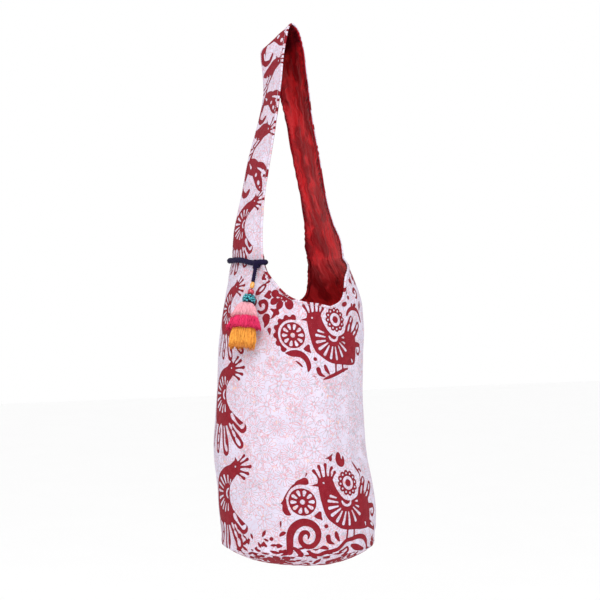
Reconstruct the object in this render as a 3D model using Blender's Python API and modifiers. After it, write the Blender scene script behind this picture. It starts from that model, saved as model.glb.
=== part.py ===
"""Jhola bag, hanging by its one strap and softly filled out, with its round base bulging.

Frame: metres, +Z up, the front of the bag faces -Y, and the strap runs from the left side (-X) over its
fold to the right side (+X). The origin is the point under the strap's fold, at its front edge, where
the bag hangs; the body hangs straight below it.

The printed cloth is one piece: a round wall with a deep scoop in front and behind, whose two sides go
on upwards as the strap. A base panel closes it, a satin lining backs all of it, and a cord is tied round
the left root of the strap, with beads and a tassel in three tiers on its end.
"""

import math
from collections import namedtuple

import bmesh
import bpy
from mathutils import Matrix, Vector

# Cloth thicknesses, and the gap that neighbouring pieces keep
OUTER_THICK = 0.0015
LINING_THICK = 0.0010
GAP = 0.0003

# The cut of the cloth: the radius that its circumference would give, and the strap's root
CUT_RADIUS = 0.114
ROOT_ANGLE = {-1: 26.0, 1: 28.8}
SEAM_Z = -0.777
BASE_DEPTH = 0.0285
BASE_ROUNDNESS = 3.4
BASE_FULLER_RIGHT = 0.14
LINING_EDGE_INSET = 0.0010
LINING_GAP = 0.0005
LINING_BASE_RISE = 0.0040

# How finely the cloth is divided
STRAP_COLUMNS = 8
SCOOP_COLUMNS = 7
SCOOP_CROWDING = 1.35
BODY_ROWS = 12
STRAP_ROWS = 34
BASE_RINGS = 5

# The body at each height: its middle, and its half widths from side to side and from front to back
Body = namedtuple("Body", "z centre semi_x semi_y")
BODY = [
    Body(-0.777, 0.0100, 0.1140, 0.1140),
    Body(-0.755, 0.0105, 0.1158, 0.1158),
    Body(-0.724, 0.0090, 0.1180, 0.1180),
    Body(-0.690, 0.0050, 0.1166, 0.1170),
    Body(-0.648, -0.0025, 0.1148, 0.1150),
    Body(-0.610, -0.0048, 0.1130, 0.1135),
    Body(-0.549, -0.0040, 0.1098, 0.1120),
    Body(-0.498, -0.0025, 0.1085, 0.1135),
    Body(-0.463, 0.0000, 0.1070, 0.1140),
    Body(-0.438, 0.0005, 0.1035, 0.1145),
    Body(-0.414, 0.0010, 0.0985, 0.1145),
    Body(-0.386, -0.0020, 0.0880, 0.1150),
    Body(-0.351, -0.0076, 0.0748, 0.1140),
]

# The scoop's edge: its height at each angle from the middle of the side round to the front or the back,
# on the left and right halves of the bag
Rim = namedtuple("Rim", "angle front_left back_left front_right back_right")
RIM = [
    Rim(25, -0.3510, -0.3500, -0.3500, -0.3500),
    Rim(31, -0.3705, -0.3660, -0.3545, -0.3610),
    Rim(38, -0.3830, -0.3800, -0.3590, -0.3850),
    Rim(46, -0.3965, -0.3950, -0.3640, -0.4070),
    Rim(56, -0.4095, -0.4095, -0.3710, -0.4175),
    Rim(67, -0.4165, -0.4180, -0.3820, -0.4205),
    Rim(78, -0.4190, -0.4215, -0.4130, -0.4225),
    Rim(90, -0.4235, -0.4235, -0.4235, -0.4235),
]

# The strap from the left root, over its fold, to the right root. x, back and z place its middle line,
# inward is the radius of its hollow, twist (degrees) turns its front edge to the right, and tilt is how
# much lower it lies for each metre towards its back edge.
Strap = namedtuple("Strap", "x back z half inward twist tilt")
STRAP = [
    Strap(-0.0824, 0.001, -0.3510, 0.0515, 0.067, 0.0, 0.00),
    Strap(-0.0781, 0.003, -0.3240, 0.0450, 0.060, 2.5, 0.00),
    Strap(-0.0723, 0.006, -0.2955, 0.0400, 0.050, 4.0, 0.00),
    Strap(-0.0624, 0.010, -0.2520, 0.0370, 0.042, 1.5, 0.00),
    Strap(-0.0490, 0.015, -0.1980, 0.0360, 0.036, 1.0, 0.03),
    Strap(-0.0336, 0.021, -0.1426, 0.0350, 0.030, -3.3, 0.10),
    Strap(-0.0235, 0.025, -0.0992, 0.0350, 0.026, -5.0, 0.20),
    Strap(-0.0184, 0.030, -0.0595, 0.0350, 0.020, -1.0, 0.33),
    Strap(-0.0152, 0.033, -0.0310, 0.0350, 0.014, 7.0, 0.40),
    Strap(-0.0130, 0.034, -0.0188, 0.0350, 0.011, 11.0, 0.42),
    Strap(-0.0068, 0.035, -0.0128, 0.0350, 0.010, 12.0, 0.42),
    Strap(0.0010, 0.0345, -0.0168, 0.0350, 0.011, 12.5, 0.41),
    Strap(0.0070, 0.034, -0.0275, 0.0350, 0.014, 13.0, 0.39),
    Strap(0.0139, 0.031, -0.0525, 0.0350, 0.020, 11.0, 0.33),
    Strap(0.0212, 0.025, -0.0992, 0.0350, 0.026, 6.4, 0.20),
    Strap(0.0274, 0.021, -0.1426, 0.0350, 0.030, 2.6, 0.10),
    Strap(0.0360, 0.015, -0.1980, 0.0360, 0.036, 2.0, 0.03),
    Strap(0.0456, 0.010, -0.2520, 0.0375, 0.042, -1.5, 0.00),
    Strap(0.0548, 0.006, -0.2955, 0.0435, 0.050, -1.8, 0.00),
    Strap(0.0628, 0.003, -0.3240, 0.0515, 0.060, 0.9, 0.00),
    Strap(0.0672, 0.000, -0.3510, 0.0570, 0.067, 1.5, 0.00),
]

# Soft dents and folds of the wall: bearing round the body (0 at the front, 90 at the right), middle
# height, how far each reaches round and up, and how far it goes in (or out, when below zero)
Fold = namedtuple("Fold", "bearing z reach_round reach_up depth")
FOLDS = [
    Fold(-17, -0.560, 7, 0.060, 0.0022),
    Fold(-3, -0.500, 14, 0.070, -0.0016),
    Fold(32, -0.590, 12, 0.080, 0.0020),
    Fold(-58, -0.640, 12, 0.070, 0.0018),
    Fold(62, -0.500, 10, 0.060, 0.0022),
    Fold(-40, -0.745, 8, 0.025, 0.0024),
    Fold(18, -0.752, 7, 0.022, 0.0022),
    Fold(118, -0.600, 14, 0.090, 0.0026),
    Fold(160, -0.520, 12, 0.070, 0.0024),
    Fold(-150, -0.620, 13, 0.090, 0.0026),
    Fold(-112, -0.540, 11, 0.080, 0.0020),
]

# The cord tied round the left root of the strap, and the string of things that hangs from its knot
CORD_RADIUS = 0.0030
BAND_Z = -0.3550
BAND_EDGE_ANGLE = 27.5
BAND_SLACK = 0.0005
BAND_DROOP = 0.0035
BAND_STEPS = 12
KNOT_PLACE = -0.80
KNOT_RADIUS = 0.0062

Hanging = namedtuple("Hanging", "z bearing standoff")
STRING_TOP = Hanging(-0.3640, -69.0, 0.0072)
STRING_FOOT = Hanging(-0.4700, -63.5, 0.0215)
STRAND_END = -0.3880

Bead = namedtuple("Bead", "name top height radius")
BEADS = [
    Bead("yellow_bead", -0.3883, 0.0100, 0.0034),
    Bead("red_bead", -0.3986, 0.0082, 0.0048),
]
TURQUOISE_TOP = -0.4071
TURQUOISE_HEIGHT = 0.0105
TURQUOISE_RING = 0.0068
TURQUOISE_BEADS = 9
TURQUOISE_BEAD_RADIUS = 0.0036

# A tier of the tassel: top, bottom, the radii of its head, waist and hem, its locks and their depth
Tuft = namedtuple("Tuft", "name top bottom head waist hem locks lock_depth")
TUFTS = [
    Tuft("pink_tuft", -0.4181, -0.4350, 0.0095, 0.0185, 0.0205, 14, 0.0010),
    Tuft("magenta_tuft", -0.4353, -0.4530, 0.0190, 0.0235, 0.0225, 13, 0.0014),
    Tuft("yellow_tuft", -0.4533, -0.4860, 0.0165, 0.0190, 0.0180, 12, 0.0016),
]
TUFT_FLATNESS = 0.62

# Colours, from the bag
Finish = namedtuple("Finish", "colour roughness metallic")
FINISHES = {
    "printed_cotton": Finish((0.86, 0.78, 0.85), 0.85, 0.0),
    "crimson_satin": Finish((0.42, 0.02, 0.03), 0.42, 0.0),
    "navy_cord": Finish((0.012, 0.010, 0.055), 0.80, 0.0),
    "amber_bead": Finish((0.85, 0.38, 0.06), 0.30, 0.0),
    "ruby_bead": Finish((0.55, 0.02, 0.06), 0.12, 0.0),
    "turquoise_bead": Finish((0.02, 0.36, 0.40), 0.25, 0.6),
    "pink_yarn": Finish((0.85, 0.42, 0.46), 0.90, 0.0),
    "magenta_yarn": Finish((0.72, 0.01, 0.16), 0.90, 0.0),
    "saffron_yarn": Finish((0.90, 0.36, 0.04), 0.90, 0.0),
}


def clear_scene():
    for obj in list(bpy.data.objects):
        bpy.data.objects.remove(obj, do_unlink=True)


def new_collection(name):
    collection = bpy.data.collections.new(name)
    bpy.context.scene.collection.children.link(collection)
    return collection


def new_material(name):
    finish = FINISHES[name]
    material = bpy.data.materials.new(name)
    material.use_nodes = True
    shader = material.node_tree.nodes["Principled BSDF"]
    shader.inputs["Base Color"].default_value = (*finish.colour, 1.0)
    shader.inputs["Roughness"].default_value = finish.roughness
    shader.inputs["Metallic"].default_value = finish.metallic
    return material


def new_object(name, mesh, collection, material):
    obj = bpy.data.objects.new(name, mesh)
    collection.objects.link(obj)
    mesh.materials.append(material)
    mesh.shade_smooth()
    return obj


def mesh_from(name, points, faces):
    mesh = bpy.data.meshes.new(name)
    mesh.from_pydata([tuple(point) for point in points], [], faces)
    mesh.validate()
    mesh.update()
    return mesh


def add_thickness(obj, thickness):
    """Gives an open surface its thickness, inwards."""
    solid = obj.modifiers.new("thickness", "SOLIDIFY")
    solid.thickness = thickness
    solid.offset = -1.0
    solid.use_rim = True
    solid.use_even_offset = True


def row_between(rows, place):
    """The row at a place along a table, read on a smooth curve through its rows."""
    first = min(max(int(place), 0), len(rows) - 2)
    t = place - first
    before = rows[max(first - 1, 0)]
    after = rows[min(first + 2, len(rows) - 1)]
    values = []
    for a, b, c, d in zip(before, rows[first], rows[first + 1], after):
        slope_in = (c - a) / 2
        slope_out = (d - b) / 2
        values.append(
            b
            + slope_in * t
            + (3 * (c - b) - 2 * slope_in - slope_out) * t**2
            + (2 * (b - c) + slope_in + slope_out) * t**3
        )
    return type(rows[0])(*values)


def row_at(rows, column, value):
    """The row of a table where a rising or falling column has this value."""
    low, high = 0.0, float(len(rows) - 1)
    rising = getattr(rows[-1], column) > getattr(rows[0], column)
    for _ in range(30):
        middle = (low + high) / 2
        if (getattr(row_between(rows, middle), column) < value) == rising:
            low = middle
        else:
            high = middle
    return row_between(rows, (low + high) / 2)


def fold_depth(bearing, z):
    """How far the folds press the wall in, at a bearing in degrees and a height."""
    depth = 0.0
    for fold in FOLDS:
        off = (bearing - fold.bearing + 180) % 360 - 180
        depth += fold.depth * math.exp(
            -((off / fold.reach_round) ** 2) - ((z - fold.z) / fold.reach_up) ** 2
        )
    return depth


def wall_point(side, angle, z):
    """A point of the wall's outer face: side is -1 or 1, and angle runs from the side to the back."""
    row = row_at(BODY, "z", z)
    turn = math.radians(angle)
    bearing = math.degrees(math.atan2(side * math.cos(turn), -math.sin(turn)))
    shrink = fold_depth(bearing, z)
    return Vector(
        (
            row.centre + side * (row.semi_x - shrink) * math.cos(turn),
            (row.semi_y - shrink) * math.sin(turn),
            z,
        )
    )


def strap_point(row, across):
    """A point of the strap's outer face: across runs from -1 at its front edge to 1 at its back edge."""
    side = -1 if row.x < STRAP[len(STRAP) // 2].x else 1
    width = row.half * across
    turn = width / CUT_RADIUS
    hollow = row.inward * (1 - math.cos(turn))
    y = CUT_RADIUS * math.sin(turn)
    twist = math.radians(row.twist)
    return Vector(
        (
            row.x - side * hollow - y * math.sin(twist),
            row.back + y * math.cos(twist),
            row.z - row.tilt * y,
        )
    )


def is_strap(side, angle):
    return abs(angle) <= ROOT_ANGLE[side] + 1e-6


def side_angles(side):
    """Angles of the wall's columns over one side, from the front middle line to the back one."""
    root = ROOT_ANGLE[side]
    shares = [(k / SCOOP_COLUMNS) ** SCOOP_CROWDING for k in range(SCOOP_COLUMNS, 0, -1)]
    scoop = [root + (90 - root) * share for share in shares]
    strap = [root * (2 * k / STRAP_COLUMNS - 1) for k in range(STRAP_COLUMNS + 1)]
    return [-a for a in scoop] + strap + scoop[::-1]


def top_of(side, angle, inset):
    """Height of the wall's upper edge at a column, where the strap begins or the scoop runs."""
    if is_strap(side, angle):
        return STRAP[0].z
    rim = row_at(RIM, "angle", abs(angle))
    if angle < 0:
        return (rim.front_left if side < 0 else rim.front_right) - inset
    return (rim.back_left if side < 0 else rim.back_right) - inset


def cloth_grid(inset=0.0):
    """Points and faces of the wall and the strap as one open surface, and the wall's lowest row."""
    ring = [(-1, a) for a in reversed(side_angles(-1))] + [(1, a) for a in side_angles(1)[1:-1]]
    points, faces, rows = [], [], []
    for k in range(BODY_ROWS + 1):
        share = k / BODY_ROWS
        row = []
        for side, angle in ring:
            top = top_of(side, angle, inset)
            row.append(len(points))
            points.append(wall_point(side, angle, SEAM_Z + (top - SEAM_Z) * share))
        rows.append(row)
    count = len(ring)
    for low, high in zip(rows, rows[1:]):
        for i in range(count):
            j = (i + 1) % count
            faces.append((low[i], low[j], high[j], high[i]))

    left = [i for i, (side, a) in enumerate(ring) if side < 0 and is_strap(side, a)]
    right = [i for i, (side, a) in enumerate(ring) if side > 0 and is_strap(side, a)]
    below = [rows[-1][i] for i in left]
    for k in range(1, STRAP_ROWS + 1):
        if k == STRAP_ROWS:
            row = [rows[-1][i] for i in reversed(right)]
        else:
            place = row_between(STRAP, (len(STRAP) - 1) * k / STRAP_ROWS)
            place = place._replace(half=place.half - inset)
            row = []
            for column in range(STRAP_COLUMNS + 1):
                row.append(len(points))
                points.append(strap_point(place, 1 - 2 * column / STRAP_COLUMNS))
        for i in range(STRAP_COLUMNS):
            faces.append((below[i], below[i + 1], row[i + 1], row[i]))
        below = row
    return points, faces, rows[0]


def pushed_in(points, faces, distance):
    """The points of a surface, each moved inwards along its normal."""
    mesh = mesh_from("guide", points, faces)
    moved = [
        point - Vector(normal.vector) * distance
        for point, normal in zip(points, mesh.vertex_normals)
    ]
    bpy.data.meshes.remove(mesh)
    return moved


def base_rings(edge, rise, first_share):
    """Rings of the bulging base inside an edge of points, from the edge to the middle point."""
    middle = sum(edge, Vector()) / len(edge)
    rings = []
    for k in range(BASE_RINGS):
        share = first_share * math.sin(math.pi / 2 * (1 - k / BASE_RINGS))
        ring = []
        for point in edge:
            flat = middle + (point - middle) * share
            fuller = 1 + BASE_FULLER_RIGHT * (flat.x - middle.x) / CUT_RADIUS
            drop = BASE_DEPTH * (1 - share**BASE_ROUNDNESS) * fuller
            ring.append(Vector((flat.x, flat.y, SEAM_Z + rise - drop)))
        rings.append(ring)
    return rings, Vector((middle.x, middle.y, SEAM_Z + rise - BASE_DEPTH))


def close_base(points, faces, row, rings, middle):
    """Adds the rings below a row of the surface, with a fan of faces in the middle."""
    for ring in rings:
        new = list(range(len(points), len(points) + len(ring)))
        points.extend(ring)
        if row:
            for i in range(len(new)):
                j = (i + 1) % len(new)
                faces.append((new[i], new[j], row[j], row[i]))
        row = new
    points.append(middle)
    for i in range(len(row)):
        faces.append((len(points) - 1, row[(i + 1) % len(row)], row[i]))


def make_outer_cloth(collection):
    points, faces, _ = cloth_grid()
    cloth = new_object(
        "outer_cloth", mesh_from("outer_cloth", points, faces), collection, new_material("printed_cotton")
    )
    add_thickness(cloth, OUTER_THICK)
    return cloth


def make_base_panel(collection):
    """The base panel sits inside the wall's lower edge, as a panel sewn in does."""
    points, _, lowest = cloth_grid()
    edge = [points[i] for i in lowest]
    inside = 1 - (OUTER_THICK + 2 * GAP) / CUT_RADIUS
    rings, middle = base_rings(edge, GAP, inside)
    panel_points, panel_faces = [], []
    close_base(panel_points, panel_faces, [], rings, middle)
    panel = new_object(
        "base_panel",
        mesh_from("base_panel", panel_points, panel_faces),
        collection,
        new_material("printed_cotton"),
    )
    add_thickness(panel, OUTER_THICK)
    return panel


def make_lining(collection):
    """The lining follows the inside of the cloth, up the strap too, with its own bottom."""
    points, faces, lowest = cloth_grid(LINING_EDGE_INSET)
    points = pushed_in(points, faces, OUTER_THICK + LINING_GAP)
    for i in lowest:
        points[i].z = SEAM_Z + OUTER_THICK + LINING_BASE_RISE
    edge = [points[i] for i in lowest]
    rings, middle = base_rings(edge, OUTER_THICK + LINING_BASE_RISE, 0.985)
    close_base(points, faces, lowest, rings, middle)
    lining = new_object(
        "lining", mesh_from("lining", points, faces), collection, new_material("crimson_satin")
    )
    add_thickness(lining, LINING_THICK)
    return lining


def tube(name, route, radius, closed):
    """A round tube along a route, as a closed mesh."""
    curve = bpy.data.curves.new(name, "CURVE")
    curve.dimensions = "3D"
    curve.bevel_depth = radius
    curve.bevel_resolution = 2
    curve.use_fill_caps = not closed
    spline = curve.splines.new("POLY")
    spline.points.add(len(route) - 1)
    for point, place in zip(spline.points, route):
        point.co = (*place, 1.0)
    spline.use_cyclic_u = closed
    guide = bpy.data.objects.new(name + "_guide", curve)
    bpy.context.scene.collection.objects.link(guide)
    graph = bpy.context.evaluated_depsgraph_get()
    mesh = bpy.data.meshes.new_from_object(guide.evaluated_get(graph))
    bpy.data.objects.remove(guide, do_unlink=True)
    weld(mesh)
    return mesh


def weld(mesh):
    cage = bmesh.new()
    cage.from_mesh(mesh)
    bmesh.ops.remove_doubles(cage, verts=cage.verts, dist=0.00002)
    bmesh.ops.recalc_face_normals(cage, faces=cage.faces)
    cage.to_mesh(mesh)
    cage.free()


def wall_normal(side, angle, z):
    """The level direction straight out of the wall."""
    along = wall_point(side, angle + 1, z) - wall_point(side, angle - 1, z)
    return Vector((along.y, -along.x, 0.0)).normalized() * side


def band_route():
    """The cord's way round the left root of the strap, close to the cloth outside and the lining inside."""
    half_layers = (OUTER_THICK + GAP + LINING_THICK) / 2
    reach = half_layers + GAP + BAND_SLACK + CORD_RADIUS
    route = []
    for end in (1, -1):
        for k in range(BAND_STEPS):
            across = end * (2 * k / (BAND_STEPS - 1) - 1)
            place, out = band_middle(across, half_layers)
            route.append(place + out * reach * end)
        turn_at, out = band_middle(end, half_layers)
        along = Vector((-out.y, out.x, 0.0)) * -end
        for degrees in (45, 90, 135):
            turn = math.radians(degrees)
            route.append(turn_at + out * reach * end * math.cos(turn) + along * reach * math.sin(turn))
    return route


def band_middle(across, depth):
    """A point in the middle of the cloth's layers, where the cord goes round them, and the way out."""
    z = BAND_Z - BAND_DROOP * math.exp(-(((across - KNOT_PLACE) / 0.5) ** 2))
    angle = BAND_EDGE_ANGLE * across
    out = wall_normal(-1, angle, z)
    return wall_point(-1, angle, z) - out * depth, out


def string_point(z):
    """The place of the hanging string at a height: it lies against the wall, a little to the left."""
    share = (STRING_TOP.z - z) / (STRING_TOP.z - STRING_FOOT.z)
    share = max(0.0, min(1.3, share))
    bearing = math.radians(STRING_TOP.bearing + (STRING_FOOT.bearing - STRING_TOP.bearing) * share)
    stand = STRING_TOP.standoff + (STRING_FOOT.standoff - STRING_TOP.standoff) * min(1.0, share)
    angle = -math.degrees(math.atan2(math.cos(bearing), -math.sin(bearing)))
    wall = wall_point(-1, angle, min(z, STRAP[0].z))
    out = Vector((math.sin(bearing), -math.cos(bearing), 0.0))
    return wall + out * stand


def string_turn(z):
    """How a piece on the string is turned at a height: its X runs sideways, Y outwards and Z up the string."""
    up = (string_point(z + 0.004) - string_point(z - 0.004)).normalized()
    bearing = math.radians(STRING_TOP.bearing)
    out = Vector((math.sin(bearing), -math.cos(bearing), 0.0))
    sideways = out.cross(up).normalized()
    return Matrix((sideways, up.cross(sideways), up)).transposed()


def ball(name, place, radius, squash=(1.0, 1.0, 1.0)):
    cage = bmesh.new()
    bmesh.ops.create_uvsphere(cage, u_segments=10, v_segments=6, radius=radius)
    for vert in cage.verts:
        vert.co = Vector([c * s for c, s in zip(vert.co, squash)]) + place
    mesh = bpy.data.meshes.new(name)
    cage.to_mesh(mesh)
    cage.free()
    return mesh


def joined(name, meshes, collection, helpers, material):
    """One body from closed meshes that overlap."""
    first = new_object(name, meshes[0], collection, material)
    for k, mesh in enumerate(meshes[1:]):
        helper = bpy.data.objects.new(f"{name}_join_{k}", mesh)
        helpers.objects.link(helper)
        helper.hide_render = True
        helper.display_type = "WIRE"
        union = first.modifiers.new(f"join_{k}", "BOOLEAN")
        union.operation = "UNION"
        union.solver = "EXACT"
        union.object = helper
    return first


def make_tie_cord(collection, helpers):
    """The band round the strap, its knot and the strand that hangs from the knot."""
    band = tube("tie_cord", band_route(), CORD_RADIUS, True)
    outer_run = band_route()[:BAND_STEPS]
    string_top = string_point(STRING_TOP.z)
    nearest = min(outer_run, key=lambda point: (point - string_top).length)
    knot_place = nearest.lerp(string_top, 0.5)
    knot = ball("tie_cord_knot", knot_place, KNOT_RADIUS, (0.8, 1.05, 0.95))
    steps = 7
    strand_route = [knot_place] + [
        string_point(STRING_TOP.z + (STRAND_END - STRING_TOP.z) * k / steps) for k in range(1, steps + 1)
    ]
    strand = tube("tie_cord_strand", strand_route, CORD_RADIUS * 0.85, False)
    return joined("tie_cord", [band, knot, strand], collection, helpers, new_material("navy_cord"))


def turned(name, profile, sides, top, collection, material):
    """A turned piece on the string: the radius at each distance down from its top."""
    mesh = bpy.data.meshes.new(name)
    cage = bmesh.new()
    previous = None
    for radius, down in profile:
        point = cage.verts.new((radius, 0.0, -down))
        if previous:
            cage.edges.new((previous, point))
        previous = point
    cage.to_mesh(mesh)
    cage.free()
    obj = new_object(name, mesh, collection, material)
    screw = obj.modifiers.new("turn", "SCREW")
    screw.steps = sides
    screw.render_steps = sides
    screw.use_merge_vertices = True
    screw.merge_threshold = 0.00001
    obj.location = string_point(top)
    obj.rotation_euler = string_turn(top).to_euler()
    return obj


def make_beads(collection):
    """The two round beads below the strand."""
    for bead, material in zip(BEADS, ("amber_bead", "ruby_bead")):
        profile = []
        steps = 7
        for k in range(steps + 1):
            turn = math.pi * k / steps
            radius = bead.radius * max(0.0, math.sin(turn)) ** 0.5
            profile.append((radius, bead.height / 2 * (1 - math.cos(turn))))
        turned(bead.name, profile, 14, bead.top, collection, new_material(material))


def make_turquoise_beads(collection, helpers):
    """A ring of turquoise beads fused round their core, which caps the tassel."""
    turn_to = string_turn(TURQUOISE_TOP)
    middle = string_point(TURQUOISE_TOP) - turn_to @ Vector((0, 0, TURQUOISE_HEIGHT / 2))
    cage = bmesh.new()
    bmesh.ops.create_cone(
        cage,
        cap_ends=True,
        segments=12,
        radius1=TURQUOISE_RING,
        radius2=TURQUOISE_RING * 0.75,
        depth=TURQUOISE_HEIGHT,
    )
    for vert in cage.verts:
        vert.co = turn_to @ vert.co + middle
    core = bpy.data.meshes.new("turquoise_beads")
    cage.to_mesh(core)
    cage.free()
    meshes = [core]
    for k in range(TURQUOISE_BEADS):
        turn = 2 * math.pi * k / TURQUOISE_BEADS
        spot = Vector((math.cos(turn), math.sin(turn), 0.0)) * TURQUOISE_RING
        meshes.append(ball(f"turquoise_{k}", turn_to @ spot + middle, TURQUOISE_BEAD_RADIUS))
    return joined("turquoise_beads", meshes, collection, helpers, new_material("turquoise_bead"))


def make_tuft(tuft, collection, material):
    """One tier of the tassel: locks of yarn fused to their head, wider at the hem."""
    sides = tuft.locks * 2
    rings = 5
    top = string_point(tuft.top)
    turn_to = string_turn(tuft.top)
    height = tuft.top - tuft.bottom
    points, faces = [], []

    def add_ring(down, radius, lock, hem):
        ring = []
        for k in range(sides):
            turn = 2 * math.pi * k / sides
            ridge = lock if k % 2 == 0 else -lock
            length = down + (hem * (0.5 if k % 2 == 0 else -0.5))
            spot = Vector(
                (
                    (radius + ridge) * math.cos(turn),
                    (radius + ridge) * math.sin(turn) * TUFT_FLATNESS,
                    -length,
                )
            )
            ring.append(len(points))
            points.append(turn_to @ spot + top)
        return ring

    rows = [add_ring(0.0, tuft.head, 0.0, 0.0)]
    for k in range(1, rings + 1):
        share = k / rings
        if share < 0.5:
            swell = math.sin(math.pi * share)
            radius = tuft.head + (tuft.waist - tuft.head) * swell
        else:
            radius = tuft.waist + (tuft.hem - tuft.waist) * (2 * share - 1)
        hem = 0.0012 if k == rings else 0.0
        rows.append(add_ring(height * share - hem, radius, tuft.lock_depth * share, hem))
    for low, high in zip(rows[1:], rows):
        for i in range(sides):
            j = (i + 1) % sides
            faces.append((low[i], low[j], high[j], high[i]))
    for row, down, upper in ((rows[0], 0.0, True), (rows[-1], height * 0.93, False)):
        points.append(turn_to @ Vector((0.0, 0.0, -down)) + top)
        for i in range(sides):
            j = (i + 1) % sides
            fan = (row[i], row[j], len(points) - 1)
            faces.append(fan if upper else fan[::-1])
    return new_object(tuft.name, mesh_from(tuft.name, points, faces), collection, material)


def main():
    clear_scene()
    bag = new_collection("jhola_bag")
    helpers = new_collection("joined_pieces")
    helpers.hide_render = True
    make_outer_cloth(bag)
    make_base_panel(bag)
    make_lining(bag)
    make_tie_cord(bag, helpers)
    make_beads(bag)
    make_turquoise_beads(bag, helpers)
    for tuft, yarn in zip(TUFTS, ("pink_yarn", "magenta_yarn", "saffron_yarn")):
        make_tuft(tuft, bag, new_material(yarn))


main()
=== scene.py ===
"""Jhola bag: the printed cloth, the satin lining, the tie cord and its tassel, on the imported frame.

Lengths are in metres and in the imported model's frame, unless a name or comment says mm. The cloth is also
worked out in its own flat coordinates, in mm: s runs round the bag from the middle of the front, positive to
the right, and t is the height up the cloth, which goes on along the strap. The print is drawn in those.
"""

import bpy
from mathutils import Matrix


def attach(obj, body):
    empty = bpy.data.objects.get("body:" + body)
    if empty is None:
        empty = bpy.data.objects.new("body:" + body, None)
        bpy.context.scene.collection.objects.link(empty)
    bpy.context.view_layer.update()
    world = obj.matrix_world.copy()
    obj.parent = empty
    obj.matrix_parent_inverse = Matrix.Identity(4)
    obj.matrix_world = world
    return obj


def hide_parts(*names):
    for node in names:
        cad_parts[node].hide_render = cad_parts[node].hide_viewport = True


bl_info = {
    "name": "Jhola bag",
    "version": (1, 0, 0),
    "blender": (4, 5, 0),
    "location": "View3D > Sidebar > Bag",
    "description": "Makes a block printed jhola bag with a satin lining and a beaded tassel",
    "category": "Add Mesh",
}

import math
from collections import namedtuple

import bmesh
import bpy
import numpy as np
from mathutils import Vector

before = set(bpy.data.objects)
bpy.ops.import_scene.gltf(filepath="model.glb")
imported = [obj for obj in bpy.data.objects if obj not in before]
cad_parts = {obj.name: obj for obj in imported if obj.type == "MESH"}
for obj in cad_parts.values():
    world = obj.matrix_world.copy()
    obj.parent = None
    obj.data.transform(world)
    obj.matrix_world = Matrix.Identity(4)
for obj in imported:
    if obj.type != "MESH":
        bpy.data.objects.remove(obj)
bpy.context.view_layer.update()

MM = 0.001
BODY_NAME = "root"

# The cloth's form: the same tables as the solids have
SEAM_Z = -0.777
ROOT_Z = -0.351
CUT_RADIUS = 0.114
ROOT_ANGLE = {-1: 26.0, 1: 28.8}
BASE_DEPTH = 0.0285
BASE_ROUNDNESS = 3.4
BASE_FULLER_RIGHT = 0.14

Body = namedtuple("Body", "z centre semi_x semi_y")
BODY = [
    Body(-0.777, 0.0100, 0.1140, 0.1140),
    Body(-0.755, 0.0105, 0.1158, 0.1158),
    Body(-0.724, 0.0090, 0.1180, 0.1180),
    Body(-0.690, 0.0050, 0.1166, 0.1170),
    Body(-0.648, -0.0025, 0.1148, 0.1150),
    Body(-0.610, -0.0048, 0.1130, 0.1135),
    Body(-0.549, -0.0040, 0.1098, 0.1120),
    Body(-0.498, -0.0025, 0.1085, 0.1135),
    Body(-0.463, 0.0000, 0.1070, 0.1140),
    Body(-0.438, 0.0005, 0.1035, 0.1145),
    Body(-0.414, 0.0010, 0.0985, 0.1145),
    Body(-0.386, -0.0020, 0.0880, 0.1150),
    Body(-0.351, -0.0076, 0.0748, 0.1140),
]

Rim = namedtuple("Rim", "angle front_left back_left front_right back_right")
RIM = [
    Rim(25, -0.3510, -0.3500, -0.3500, -0.3500),
    Rim(31, -0.3705, -0.3660, -0.3545, -0.3610),
    Rim(38, -0.3830, -0.3800, -0.3590, -0.3850),
    Rim(46, -0.3965, -0.3950, -0.3640, -0.4070),
    Rim(56, -0.4095, -0.4095, -0.3710, -0.4175),
    Rim(67, -0.4165, -0.4180, -0.3820, -0.4205),
    Rim(78, -0.4190, -0.4215, -0.4130, -0.4225),
    Rim(90, -0.4235, -0.4235, -0.4235, -0.4235),
]

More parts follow.
